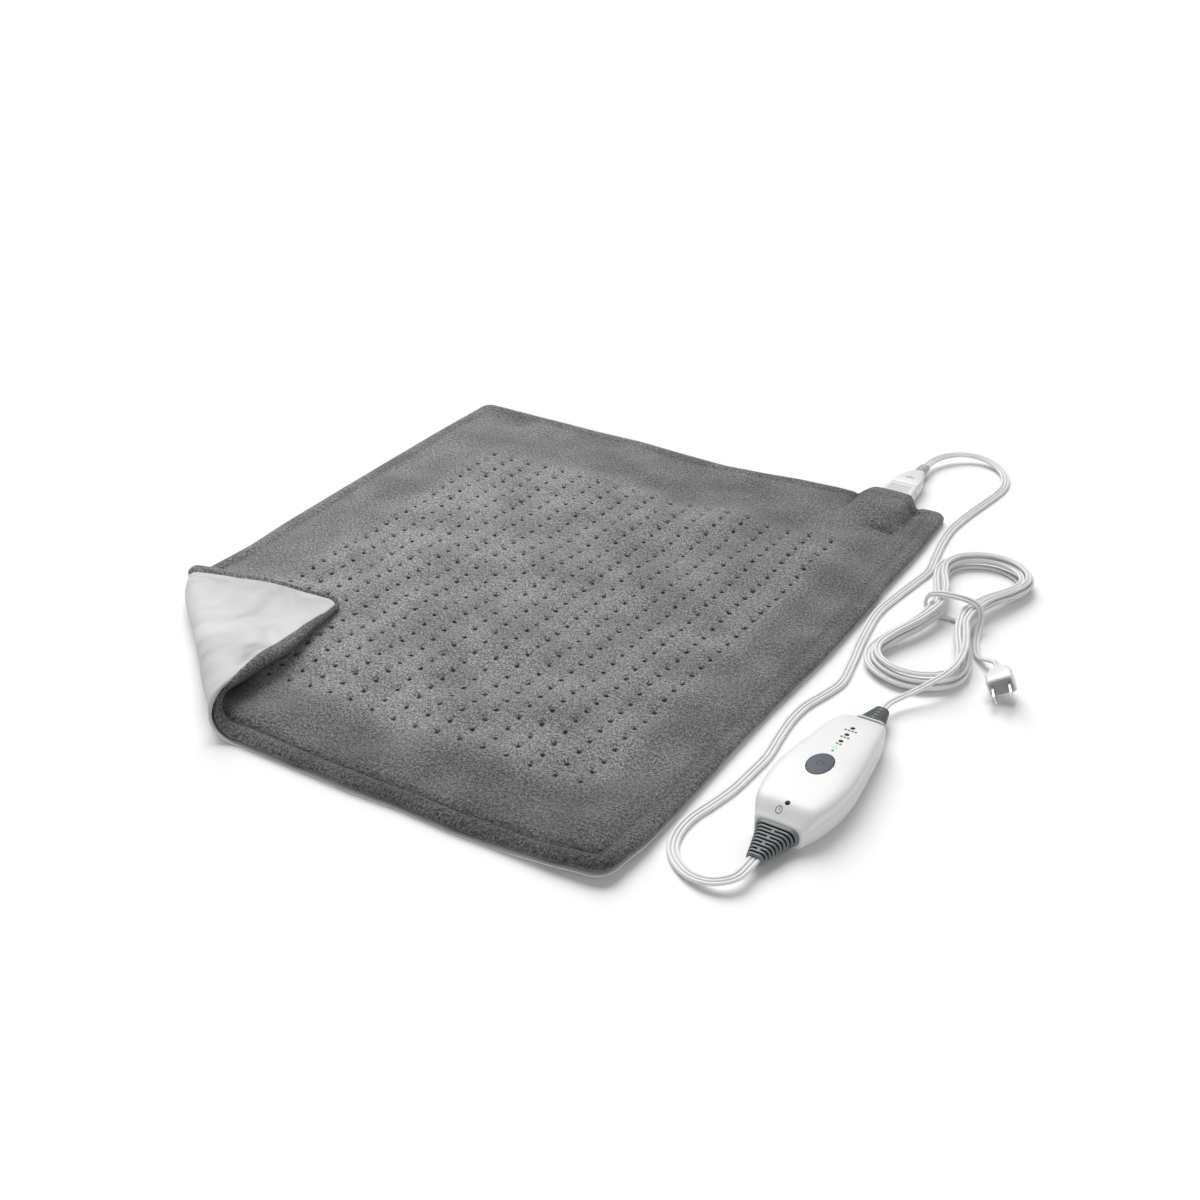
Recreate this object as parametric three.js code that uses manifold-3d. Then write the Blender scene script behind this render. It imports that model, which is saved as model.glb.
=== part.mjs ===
// Heating pad with one corner turned over, its plug-in lead, hand controller and mains cord.
// Millimetres, +Z up. The origin is the centre of the pad's flat underside, +X towards the
// controller's side of the pad and +Y towards the edge that carries the socket.
import * as THREE from 'three';
import { mergeVertices } from 'three/addons/utils/BufferGeometryUtils.js';
import Module from 'manifold-3d';

const wasm = await Module();
wasm.setup();

// Running gap between pieces that touch, and how far a cut overruns the wall it goes through
const gap = 0.35;
const overrun = 2;

// Pad covers and the corner that is turned over
const padWidth = 508;
const padLength = 610;
const padCornerRadius = 12;
const undersideThickness = 1.2;
const undersideInset = 4.5;
const plushThickness = 4.2;
const plushHemInset = 3.6;
const foldAlongSide = padLength * 0.282;
const foldAlongFront = padWidth * 0.3937;
const foldRadiusBack = 5.4;
const foldRadiusFront = 8.6;
const flapTipGap = 0.9;
const foldSteps = 8;
// Way the long edges settle on the table: share of the half-width, and how far inwards
const backEdgeSettle = [[0.58, 1], [0.43, 5], [0.3, 11], [0.14, 15], [-0.04, 12], [-0.25, 6],
  [-0.44, 7], [-0.64, 6], [-0.82, 4]];
const frontEdgeSettle = [[0.02, -3], [0.3, -5], [0.55, -7], [0.85, -5]];

// Stitched heating zone
const stitchLines = 19;
const stitchesPerLine = 30;
const stitchZoneLeft = 86;
const stitchZoneRight = 67.4;
const stitchZoneFront = 76;
const stitchZoneBack = 116.4;
const stitchPitchAcross = (padWidth - stitchZoneLeft - stitchZoneRight) / (stitchLines - 1);
const stitchPitchAlong = (padLength - stitchZoneFront - stitchZoneBack) / (stitchesPerLine - 1);
const stitchDepth = 2.2;
const feltThickness = 1.6;
const feltMargin = 16;
const wireDiameter = 1.6;
const wireSides = 5;
const foldClearance = 7;

// Thermal cut-outs on the heater
const cutoutLength = 9;
const cutoutWidth = 5;
const cutoutHeight = wireDiameter;
const cutoutLineShares = [0.28, 0.72];

// Socket that is fixed to the pad, and the plush sleeve that covers its root
const socketFromSide = 51.5;
const socketAxisHeight = 7.6;
const socketHeight = 11.8;
const socketRootWidth = 33;
const socketMouthWidth = 28.4;
const socketLength = 60;
const socketProud = 24.4;
const socketCornerRadius = 2.6;
const cavityDepth = 24;
const cavityWidth = 21;
const cavityHeight = 7;
const recessWidth = 20;
const recessLength = 13;
const recessDepth = 0.6;
const recessFromMouth = 5.8;
const notchSideRoom = 2;
const sleeveThickness = 2.2;
const sleeveFlange = 3.4;
const sleeveRampLength = 13;
const sleeveSetback = 4;
const sleeveRootLength = 52;

// Contact pins between the socket and the plug
const pinCount = 3;
const pinPitch = 5.6;
const pinWidth = 2.6;
const pinThickness = 1.1;
const pinLength = 34;
const pinReach = 15;

// Round release buttons on the socket's sides
const releaseDiameter = 6.2;
const releaseProud = 0.8;
const releaseFromMouth = 6.2;
const releaseRise = 1.2;
const releaseTravel = 1.2;
const releaseLeafThickness = 1;
const releaseLeafLength = 9;
const releaseLeafHeight = releaseDiameter + 0.1;
const releaseSides = 16;

// Plug of the pad lead
const plugLength = 38.6;
const plugTaperStart = 13;
const plugEndWidth = 12.6;
const plugEndHeight = 8.6;
const plugSideInset = 0.9;
const arrowLength = 5;
const arrowWidth = 9;
const arrowHeight = 0.5;
const arrowFromEnd = 20;
const leadReliefLength = 17;
const leadReliefTipWidth = 9.8;
const leadReliefTipHeight = 6.4;
const leadReliefRibs = 3;
const leadReliefRibDepth = 0.6;

// Controller body
const padEndFromSide = 72.56;
const padEndFromBack = -517.48;
const controllerTurn = THREE.MathUtils.degToRad(-1.4);
const controllerLength = 146;
const controllerWidth = 57.4;
const controllerHeight = 26.8;
const controllerPartingHeight = 9;
const controllerWall = 2.2;
const padEndHeight = 16.6;
const mainsEndHeight = 14.6;
const controllerStations = 17;
const boardPadEndRoom = 8.5;
const boardMainsEndRoom = 19.5;
const boardWidth = 28;
const boardThickness = 1.6;
const boardHeight = 8;
const bossDiameter = 6.4;
const bossSides = 12;
const bossAlong = controllerLength * 0.318;
const bossAcross = 10.5;
const screwDiameter = 2.6;
const screwHeadDiameter = 5;
const screwHeadHeight = 1.8;
const screwHeadDepth = 0.6;
const screwHoldingLength = 4;

// Power button and the switch under it
const buttonWidth = 17.6;
const buttonLength = 26.8;
const buttonFromCentre = -11.7;
const buttonTravel = 0.7;
const buttonCrown = 0.7;
const buttonRimDrop = 0.5;
const buttonFlangeWidth = 1.4;
const buttonFlangeThickness = 1.2;
const buttonFlangeRoom = 1.1;
const buttonSides = 28;
const buttonCrownShares = [[0.93, 0.6], [0.5, 0.95], [0, 1]];
const stemDiameter = 5;
const switchWidth = 6;
const switchBodyHeight = 3.4;
const plungerDiameter = 3.4;
const plungerHeight = 1.4;

// Indicator lamps
const lampDiameter = 3;
const lampPitch = 10;
const lampFirstFromCentre = 11.6;
const lampCount = 4;
const timerLampFromPadEnd = 12.5;
const lampSides = 12;
const lampProud = 0.35;
const lampRimWidth = 0.5;
const lampRimHeight = 1;
const lampLegDiameter = 1.8;
const lampDomeShares = [[1, 0.5], [0.7, 0.125], [0, 0]];

// Electronic components on the board
const capacitorLength = 18;
const capacitorWidth = 8;
const capacitorHeight = 11;
const triacWidth = 10;
const triacThickness = 4.5;
const triacHeight = 9.5;
const fuseDiameter = 4.4;
const fuseLength = 15;
const chipLength = 10;
const chipWidth = 7;
const chipHeight = 1.8;
const componentRowAcross = 9;
const backRowAlong = 17;
const frontRowAlong = -27;

// Ribbed strain reliefs of the controller
const padReliefLength = 32.5;
const padReliefBaseWidth = 32;
const padReliefBaseHeight = 14;
const padReliefTipWidth = 11.7;
const padReliefTipHeight = 7.4;
const padReliefRibs = 6;
const mainsReliefLength = 23;
const mainsReliefBaseWidth = 22.5;
const mainsReliefBaseHeight = 10.6;
const mainsReliefTipWidth = 10;
const mainsReliefTipHeight = 7;
const mainsReliefRibs = 5;
const reliefAxisHeight = controllerPartingHeight;
const reliefCollar = 4.5;
const reliefRibDepth = 0.9;
const reliefNeckWidth = 11;
const reliefNeckHeight = 7;
const reliefFlangeLength = 2.4;
const reliefFlangeGrowth = 1.3;

// Pad lead: flat cord of three cores
const leadWidth = 8.4;
const leadThickness = 2.9;
const leadSteps = 44;

// Mains cord: flat cord of two cores, wound in a waisted hank that its own end wraps round
const mainsWidth = 5.6;
const mainsThickness = 2.9;
const mainsSteps = 12;
const tailSteps = 6;
const hankAcross = -4.74;
const hankAlong = 163.83;
const hankHalfLength = 113;
const hankHalfWidth = 64.2;
const hankWaistShare = 0.7586;
const hankWaistRoundness = 4;
const hankTurns = 5;
const hankStepsPerTurn = 24;
const hankPitch = 7.4;
const hankLayerStep = 3.5;
const hankWaistLift = 4.6;
const hankEndStretch = 6;
const hankDropTurns = 0.25;
const wrapTurnSteps = 8;
const hankLayerEnds = [1, 2.5, 4];
const cordFloorGap = 0.15;
const cordEndStretch = 9;

// Mains plug
const plugFaceAcross = 64.96;
const plugFaceAlong = 73.23;
const plugAxisHeight = 11.7;
const plugHeading = THREE.MathUtils.degToRad(-66.5);
const plugRoll = THREE.MathUtils.degToRad(24.4);
const plugBodyWidth = 20.4;
const plugBodyHeight = 15.4;
const plugFrontLength = 13.4;
const plugRearLength = 7.6;
const plugRearWidth = 15.6;
const plugRearHeight = 11;
const plugRimLip = 0.8;
const bladeSpacing = 12.7;
const bladeLength = 15.4;
const bladeThickness = 1.5;
const bladeWidth = 6.4;
const bladeRoot = 6;
const bladeHoleDiameter = 3.2;
const bladeHoleFromTip = 3.4;
const plugRadius = 2.2;

// Heights that follow from the stack of the pad's layers
const feltBottom = undersideThickness + gap;
const wireHeight = feltBottom + feltThickness + gap + wireDiameter / 2;
const plushLiftedBottom = wireHeight + wireDiameter / 2 + gap;
const plushHemBottom = undersideThickness + gap;
const plushTop = plushLiftedBottom + plushThickness;
const hemMiddle = (plushHemBottom + plushTop) / 2;
const padBack = padLength / 2;
const padSide = padWidth / 2;
const socketX = padSide - socketFromSide;

const plushMaterial = new THREE.MeshStandardMaterial({ color: 0x77787a, roughness: 0.95, metalness: 0 });
const undersideMaterial = new THREE.MeshStandardMaterial({ color: 0xe6e6e8, roughness: 0.85, metalness: 0 });
const feltMaterial = new THREE.MeshStandardMaterial({ color: 0xd9d4c8, roughness: 0.95, metalness: 0 });
const wireMaterial = new THREE.MeshStandardMaterial({ color: 0xc8b89a, roughness: 0.6, metalness: 0 });
const whitePlastic = new THREE.MeshStandardMaterial({ color: 0xf2f2f2, roughness: 0.25, metalness: 0 });
const cordMaterial = new THREE.MeshStandardMaterial({ color: 0xededed, roughness: 0.4, metalness: 0 });
const greyRubber = new THREE.MeshStandardMaterial({ color: 0x6b757b, roughness: 0.6, metalness: 0 });
const paleRubber = new THREE.MeshStandardMaterial({ color: 0xcfd0cf, roughness: 0.6, metalness: 0 });
const slatePlastic = new THREE.MeshStandardMaterial({ color: 0x5b6670, roughness: 0.45, metalness: 0 });
const brass = new THREE.MeshStandardMaterial({ color: 0xc9a24b, roughness: 0.35, metalness: 1 });
const nickel = new THREE.MeshStandardMaterial({ color: 0xc4c6c8, roughness: 0.25, metalness: 1 });
const boardMaterial = new THREE.MeshStandardMaterial({ color: 0x2f6b3c, roughness: 0.6, metalness: 0 });
const blackPlastic = new THREE.MeshStandardMaterial({ color: 0x1d1e20, roughness: 0.5, metalness: 0 });
const capacitorMaterial = new THREE.MeshStandardMaterial({ color: 0xd9b13b, roughness: 0.5, metalness: 0 });
const fuseMaterial = new THREE.MeshStandardMaterial({ color: 0xd8dcd8, roughness: 0.3, metalness: 0 });
const redLamp = new THREE.MeshStandardMaterial({ color: 0x4a1216, roughness: 0.2, metalness: 0 });
const amberLamp = new THREE.MeshStandardMaterial({ color: 0x55401c, roughness: 0.2, metalness: 0 });
const greenLamp = new THREE.MeshStandardMaterial({ color: 0x49e06a, roughness: 0.2, metalness: 0 });

const heatingPad = new THREE.Group();

function addMesh(name, geometry, material, parent = heatingPad) {
  const mesh = new THREE.Mesh(geometry, material);
  mesh.name = name;
  parent.add(mesh);
  return mesh;
}

// A closed geometry from a list of corner triples
function fromTriangles(corners) {
  const geometry = new THREE.BufferGeometry();
  const positions = corners.flatMap((corner) => [corner.x, corner.y, corner.z]);
  geometry.setAttribute('position', new THREE.Float32BufferAttribute(positions, 3));
  geometry.computeVertexNormals();
  return geometry;
}

function toSolid(geometry) {
  const bare = geometry.clone();
  bare.deleteAttribute('normal');
  bare.deleteAttribute('uv');
  const merged = mergeVertices(bare);
  return new wasm.Manifold(new wasm.Mesh({
    numProp: 3,
    vertProperties: new Float32Array(merged.attributes.position.array),
    triVerts: new Uint32Array(merged.index.array),
  }));
}

function fromSolid(solid) {
  const mesh = solid.getMesh();
  const geometry = new THREE.BufferGeometry();
  geometry.setAttribute('position', new THREE.BufferAttribute(new Float32Array(mesh.vertProperties), 3));
  geometry.setIndex(new THREE.BufferAttribute(new Uint32Array(mesh.triVerts), 1));
  geometry.computeVertexNormals();
  return geometry;
}

function box(sizeX, sizeY, sizeZ, x, y, z) {
  return new THREE.BoxGeometry(sizeX, sizeY, sizeZ).translate(x, y, z);
}

// Upright cylinder from one height to another
function post(radius, x, y, bottom, top, sides) {
  const height = top - bottom;
  return new THREE.CylinderGeometry(radius, radius, height, sides)
    .rotateX(Math.PI / 2)
    .translate(x, y, bottom + height / 2);
}

// Skin over a row of rings with equal point counts, closed with flat ends
function loft(rings) {
  const corners = [];
  const count = rings[0].length;
  for (let k = 0; k + 1 < rings.length; k += 1) {
    for (let i = 0; i < count; i += 1) {
      const next = (i + 1) % count;
      corners.push(rings[k][i], rings[k][next], rings[k + 1][next]);
      corners.push(rings[k][i], rings[k + 1][next], rings[k + 1][i]);
    }
  }
  const last = rings[rings.length - 1];
  for (let i = 1; i + 1 < count; i += 1) {
    corners.push(rings[0][0], rings[0][i + 1], rings[0][i]);
    corners.push(last[0], last[i], last[i + 1]);
  }
  return fromTriangles(corners);
}

// Rounded rectangle in the XZ plane at one place along Y, wound so that lofts towards +Y face out
function rectangleRing(width, height, radius, y, axisHeight, x = 0) {
  const ring = [];
  const arcSteps = 2;
  for (let quarter = 0; quarter < 4; quarter += 1) {
    const signX = quarter === 0 || quarter === 3 ? 1 : -1;
    const signZ = quarter < 2 ? 1 : -1;
    for (let i = 0; i <= arcSteps; i += 1) {
      const angle = (quarter + i / arcSteps) * Math.PI / 2;
      ring.push(new THREE.Vector3(
        x + signX * (width / 2 - radius) + radius * Math.cos(angle),
        y,
        axisHeight + signZ * (height / 2 - radius) + radius * Math.sin(angle),
      ));
    }
  }
  return ring.reverse();
}

// Corner turned over: the pad beyond the fold line bends up round a widening roll and lies back
const foldStart = new THREE.Vector2(-padWidth / 2, -padLength / 2 + foldAlongSide);
const foldEnd = new THREE.Vector2(-padWidth / 2 + foldAlongFront, -padLength / 2);
const foldLength = foldStart.distanceTo(foldEnd);
const foldAlong = foldEnd.clone().sub(foldStart).normalize();
const foldOut = new THREE.Vector2(foldAlong.y, -foldAlong.x);
const cornerReach = new THREE.Vector2(-padWidth / 2, -padLength / 2).sub(foldStart);
const cornerRadiusOfFold = foldRadiusAt(cornerReach.dot(foldAlong));
const flapReach = cornerReach.dot(foldOut) - Math.PI * cornerRadiusOfFold;
const flapDrop = 2 * (hemMiddle + cornerRadiusOfFold) - 2 * plushTop - flapTipGap;
const flapSlope = flapDrop / flapReach;

function foldRadiusAt(along) {
  return THREE.MathUtils.lerp(foldRadiusBack, foldRadiusFront, along / foldLength);
}

function foldPlace(x, y) {
  const reach = new THREE.Vector2(x, y).sub(foldStart);
  return { along: reach.dot(foldAlong), out: reach.dot(foldOut) };
}

function foldPoint(x, y, z) {
  const place = foldPlace(x, y);
  if (place.out <= 0) return new THREE.Vector3(x, y, z);
  const radius = foldRadiusAt(place.along);
  const arc = Math.PI * radius;
  const shell = radius - (z - hemMiddle);
  let out = shell * Math.sin(place.out / radius);
  let height = hemMiddle + radius - shell * Math.cos(place.out / radius);
  if (place.out > arc) {
    const past = place.out - arc;
    out = -past;
    height = hemMiddle + radius + shell - past * flapSlope;
  }
  return new THREE.Vector3(
    foldStart.x + foldAlong.x * place.along + foldOut.x * out,
    foldStart.y + foldAlong.y * place.along + foldOut.y * out,
    height,
  );
}

// How far a point lies beyond the line of one angle round the fold's roll
function beyondFoldLine(point, angle) {
  const place = foldPlace(point.x, point.y);
  return place.out - angle * foldRadiusAt(place.along);
}

const foldAngles = [];
for (let k = 0; k <= foldSteps; k += 1) foldAngles.push(Math.PI * k / foldSteps);

// Outline points that an inset outline of the pad has, with the notch where the socket leaves it
const cornerArcSteps = 4;
const notchHalfWidth = socketRootWidth / 2 + notchSideRoom;
const notchDepth = sleeveRootLength - sleeveRampLength;

function padOutline(inset, notched) {
  const halfWidth = padWidth / 2 - inset;
  const halfLength = padLength / 2 - inset;
  const radius = padCornerRadius - inset;
  const points = [];
  for (let quarter = 0; quarter < 4; quarter += 1) {
    const signX = quarter === 0 || quarter === 3 ? 1 : -1;
    const signY = quarter < 2 ? 1 : -1;
    for (let i = 0; i <= cornerArcSteps; i += 1) {
      const angle = (quarter + i / cornerArcSteps) * Math.PI / 2;
      points.push(new THREE.Vector2(
        signX * (halfWidth - radius) + radius * Math.cos(angle),
        signY * (halfLength - radius) + radius * Math.sin(angle),
      ));
    }
    if (quarter === 0 && notched) {
      const room = notchHalfWidth + inset;
      const end = padBack - notchDepth - inset;
      points.push(new THREE.Vector2(socketX + room, halfLength));
      points.push(new THREE.Vector2(socketX + room, end));
      points.push(new THREE.Vector2(socketX - room, end));
      points.push(new THREE.Vector2(socketX - room, halfLength));
    }
    if (quarter === 0) {
      backEdgeSettle.forEach(([share, inwards]) => {
        points.push(new THREE.Vector2(padWidth / 2 * share, halfLength - inwards));
      });
    }
    if (quarter === 2) {
      frontEdgeSettle.forEach(([share, inwards]) => {
        points.push(new THREE.Vector2(padWidth / 2 * share, inwards - halfLength));
      });
    }
  }
  return foldAngles.reduce(splitAtFoldLine, points);
}

// Adds the points where an outline crosses a line of the fold
function splitAtFoldLine(points, angle) {
  const result = [];
  points.forEach((point, i) => {
    const next = points[(i + 1) % points.length];
    const here = beyondFoldLine(point, angle);
    const there = beyondFoldLine(next, angle);
    result.push(point);
    if (here * there < 0) result.push(point.clone().lerp(next, here / (here - there)));
  });
  return result;
}

// The part of an outline between two lines of the fold; its crossing points are already in it
function foldRegion(points, low, high) {
  const tolerance = gap / 100;
  return points.filter((point) => (low === null || beyondFoldLine(point, low) > -tolerance)
    && (high === null || beyondFoldLine(point, high) < tolerance));
}

// Triangles of one face of a pad layer, region by region so that the fold's lines stay straight
function layerFace(outline, height, upward, blocks = []) {
  const corners = [];
  const regions = [[null, foldAngles[0]]];
  for (let k = 0; k < foldSteps; k += 1) regions.push([foldAngles[k], foldAngles[k + 1]]);
  regions.push([foldAngles[foldSteps], null]);
  regions.forEach(([low, high], index) => {
    const contour = foldRegion(outline, low, high);
    const holes = index === 0 ? blocks.map((block) => block.rim) : [];
    const all = [contour, ...holes].flat();
    THREE.ShapeUtils.triangulateShape(contour, holes).forEach((face) => {
      const ordered = upward ? face : [face[0], face[2], face[1]];
      ordered.forEach((i) => corners.push(foldPoint(all[i].x, all[i].y, height)));
    });
  });
  blocks.forEach((block) => block.triangles.forEach((point) => corners.push(point)));
  return corners;
}

// The wall between two outlines of a layer
function layerWall(lower, lowerHeight, upper, upperHeight) {
  const corners = [];
  lower.forEach((point, i) => {
    const next = (i + 1) % lower.length;
    const a = foldPoint(point.x, point.y, lowerHeight);
    const b = foldPoint(lower[next].x, lower[next].y, lowerHeight);
    const c = foldPoint(upper[next].x, upper[next].y, upperHeight);
    const d = foldPoint(upper[i].x, upper[i].y, upperHeight);
    corners.push(a, b, c, a, c, d);
  });
  return corners;
}

// Stitched block of the plush: one cell per stitch, each with its pit in the middle. The cells
// under the turned corner are left smooth.
const stitchX = (line) => -padWidth / 2 + stitchZoneLeft + line * stitchPitchAcross;
const stitchY = (stitch) => -padLength / 2 + stitchZoneFront + stitch * stitchPitchAlong;

function hiddenUnderFlap(line, stitch) {
  const place = foldPlace(stitchX(line), stitchY(stitch));
  const flapDepth = flapReach * (1 - Math.abs(place.along / foldLength - 0.5) * 2);
  return place.out > -Math.max(flapDepth, stitchPitchAcross);
}

function firstStitchedCell(line) {
  let stitch = 0;
  while (stitch < stitchesPerLine && hiddenUnderFlap(line, stitch)) stitch += 1;
  return stitch;
}

function stitchedBlock() {
  const corner = (line, stitch) => new THREE.Vector2(
    stitchX(line) - stitchPitchAcross / 2,
    stitchY(stitch) - stitchPitchAlong / 2,
  );
  const starts = [];
  for (let line = 0; line < stitchLines; line += 1) starts.push(firstStitchedCell(line));
  const triangles = [];
  const rim = [];
  for (let line = 0; line < stitchLines; line += 1) {
    for (let stitch = starts[line]; stitch < stitchesPerLine; stitch += 1) {
      const pit = new THREE.Vector3(stitchX(line), stitchY(stitch), plushTop - stitchDepth);
      const ring = [corner(line, stitch), corner(line + 1, stitch),
        corner(line + 1, stitch + 1), corner(line, stitch + 1)];
      ring.forEach((point, i) => {
        const next = ring[(i + 1) % ring.length];
        triangles.push(new THREE.Vector3(point.x, point.y, plushTop));
        triangles.push(new THREE.Vector3(next.x, next.y, plushTop), pit);
      });
    }
  }
  // The rim runs along the stepped front, up the right side, back along the top and down the left
  for (let line = 0; line < stitchLines; line += 1) {
    rim.push(corner(line, starts[line]));
    if (line + 1 === stitchLines || starts[line + 1] === starts[line]) continue;
    const step = Math.sign(starts[line + 1] - starts[line]);
    for (let stitch = starts[line]; stitch !== starts[line + 1]; stitch += step) {
      rim.push(corner(line + 1, stitch));
    }
  }
  for (let stitch = starts[stitchLines - 1]; stitch < stitchesPerLine; stitch += 1) {
    rim.push(corner(stitchLines, stitch));
  }
  for (let line = stitchLines; line > 0; line -= 1) rim.push(corner(line, stitchesPerLine));
  for (let stitch = stitchesPerLine; stitch > starts[0]; stitch -= 1) rim.push(corner(0, stitch));
  return { rim, triangles };
}

// Room over the heater, left in the lower face of the plush
const feltLeft = stitchX(0) - feltMargin;
const feltRight = stitchX(stitchLines - 1) + feltMargin;
const feltFront = stitchY(0) - feltMargin;
const feltBack = stitchY(stitchesPerLine - 1) + feltMargin;

// Rectangle with the corner at the fold cut off along the fold's line
function heaterOutline(grow) {
  const points = [
    new THREE.Vector2(feltRight + grow, feltFront - grow),
    new THREE.Vector2(feltRight + grow, feltBack + grow),
    new THREE.Vector2(feltLeft - grow, feltBack + grow),
    new THREE.Vector2(feltLeft - grow, feltFront - grow),
  ];
  const beyond = (point) => foldPlace(point.x, point.y).out + foldClearance - grow;
  const result = [];
  points.forEach((point, i) => {
    const next = points[(i + 1) % points.length];
    const here = beyond(point);
    const there = beyond(next);
    if (here <= 0) result.push(point);
    if (here * there < 0) result.push(point.clone().lerp(next, here / (here - there)));
  });
  return result;
}

function heaterRoom() {
  const outer = heaterOutline(gap + plushThickness);
  const inner = heaterOutline(gap);
  const low = outer.map((point) => new THREE.Vector3(point.x, point.y, plushHemBottom));
  const high = inner.map((point) => new THREE.Vector3(point.x, point.y, plushLiftedBottom));
  const triangles = [];
  low.forEach((point, i) => {
    const next = (i + 1) % low.length;
    triangles.push(point, high[i], high[next], point, high[next], low[next]);
  });
  THREE.ShapeUtils.triangulateShape(inner, []).forEach((face) => {
    triangles.push(high[face[0]], high[face[2]], high[face[1]]);
  });
  return { rim: outer, triangles };
}

function plushCover() {
  const bottom = padOutline(plushHemInset, true);
  const middle = padOutline(0, true);
  const top = padOutline(plushHemInset, true);
  return fromTriangles([
    ...layerFace(top, plushTop, true, [stitchedBlock()]),
    ...layerFace(bottom, plushHemBottom, false, [heaterRoom()]),
    ...layerWall(bottom, plushHemBottom, middle, hemMiddle),
    ...layerWall(middle, hemMiddle, top, plushTop),
  ]);
}

function undersideCover() {
  const outline = padOutline(undersideInset, false);
  return fromTriangles([
    ...layerFace(outline, undersideThickness, true),
    ...layerFace(outline, 0, false),
    ...layerWall(outline, 0, outline, undersideThickness),
  ]);
}

addMesh('pad_plush_cover', plushCover(), plushMaterial);
addMesh('pad_underside_cover', undersideCover(), undersideMaterial);

// Heater: a felt sheet with the heating wire laid to and fro on it between the stitch lines
function flatPlate(outline, thickness, bottom) {
  const shape = new THREE.Shape(outline);
  return new THREE.ExtrudeGeometry(shape, { depth: thickness, bevelEnabled: false }).translate(0, 0, bottom);
}

addMesh('heater_felt', flatPlate(heaterOutline(0), feltThickness, feltBottom), feltMaterial);

// Rings of one section along a row of points. The section lies level until one place, from where
// it is carried along without twist, and it turns back to level on the way to the last point.
function sweep(points, section, levelUntil = points.length, turnFrom = points.length) {
  const up = new THREE.Vector3(0, 0, 1);
  const last = points.length - 1;
  const side = new THREE.Vector3();
  const frames = points.map((point, i) => {
    const before = points[Math.max(i - 1, 0)];
    const after = points[Math.min(i + 1, last)];
    const tangent = after.clone().sub(before).normalize();
    if (i < levelUntil) side.crossVectors(tangent, up);
    side.addScaledVector(tangent, -side.dot(tangent)).normalize();
    return { point, tangent, side: side.clone() };
  });
  const end = frames[last];
  const level = end.tangent.clone().cross(up).normalize();
  const sine = level.clone().cross(end.side).dot(end.tangent);
  const halfTurns = Math.atan2(sine, level.dot(end.side)) / Math.PI;
  const twist = (halfTurns - Math.round(halfTurns)) * Math.PI;
  return frames.map((frame, i) => {
    const share = THREE.MathUtils.smoothstep(i, turnFrom, last - 1);
    frame.side.applyAxisAngle(frame.tangent, -twist * share);
    const lift = frame.tangent.clone().cross(frame.side);
    return section.map((corner) => frame.point.clone()
      .addScaledVector(frame.side, corner.x)
      .addScaledVector(lift, corner.y));
  });
}

function polygonSection(radius, sides) {
  const section = [];
  for (let i = 0; i < sides; i += 1) {
    const angle = i / sides * 2 * Math.PI;
    section.push(new THREE.Vector2(radius * Math.cos(angle), radius * Math.sin(angle)));
  }
  return section;
}

function heatingWirePoints() {
  const points = [];
  const bendSteps = 4;
  const bendRadius = stitchPitchAcross / 2;
  const wireX = (run) => stitchX(run) + stitchPitchAcross / 2;
  const back = feltBack - feltMargin / 2 - bendRadius;
  const frontOf = (x) => {
    const front = feltFront + feltMargin / 2 + bendRadius;
    const place = foldPlace(x - bendRadius, front);
    const room = place.out + 2 * foldClearance + bendRadius;
    return room > 0 ? front + room / -foldOut.y : front;
  };
  const runs = stitchLines - 1;
  for (let run = 0; run < runs; run += 1) {
    const upward = run % 2 === 0;
    const nextX = wireX(run + 1);
    const turnY = upward ? back : Math.max(frontOf(wireX(run)), frontOf(nextX));
    if (run === 0) points.push(new THREE.Vector3(wireX(run), frontOf(wireX(run)), wireHeight));
    if (run === runs - 1) {
      points.push(new THREE.Vector3(wireX(run), turnY, wireHeight));
      break;
    }
    for (let i = 0; i <= bendSteps; i += 1) {
      const angle = Math.PI * (1 - i / bendSteps);
      points.push(new THREE.Vector3(
        wireX(run) + bendRadius * (1 + Math.cos(angle)),
        turnY + (upward ? 1 : -1) * bendRadius * Math.sin(angle),
        wireHeight,
      ));
    }
  }
  return points;
}

const wirePath = heatingWirePoints();
addMesh('heating_wire', loft(sweep(wirePath, polygonSection(wireDiameter / 2, wireSides))),
  wireMaterial);

// Thermal cut-outs lie on the felt between two runs of the wire
cutoutLineShares.forEach((share, index) => {
  const line = Math.round(share * (stitchLines - 1));
  const bottom = feltBottom + feltThickness + gap;
  const middleY = (feltFront + feltBack) / 2;
  addMesh(`thermal_cutout_${index + 1}`,
    box(cutoutWidth, cutoutLength, cutoutHeight, stitchX(line), middleY, bottom + cutoutHeight / 2),
    blackPlastic);
});

// Socket: two shells split at the axis, with a cavity for the plug's tongue
const socketMouth = padBack + socketProud;
const socketRoot = socketMouth - socketLength;
const socketWidthAt = (y) => THREE.MathUtils.lerp(
  socketRootWidth,
  socketMouthWidth,
  THREE.MathUtils.clamp((y - padBack) / socketProud, 0, 1),
);

const socketRingAt = (y, width) => rectangleRing(width, socketHeight, socketCornerRadius, y,
  socketAxisHeight, socketX);
const socketBlock = toSolid(loft([
  socketRingAt(socketRoot, socketRootWidth),
  socketRingAt(padBack, socketRootWidth),
  socketRingAt(socketMouth, socketMouthWidth),
]));

const cavityEnd = socketMouth - cavityDepth;
const cavity = toSolid(box(cavityWidth, cavityDepth + overrun, cavityHeight, socketX,
  cavityEnd + (cavityDepth + overrun) / 2, socketAxisHeight));
const socketRecess = toSolid(box(recessWidth, recessLength, recessDepth * 2, socketX,
  socketMouth - recessFromMouth - recessLength / 2, socketAxisHeight + socketHeight / 2));

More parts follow.
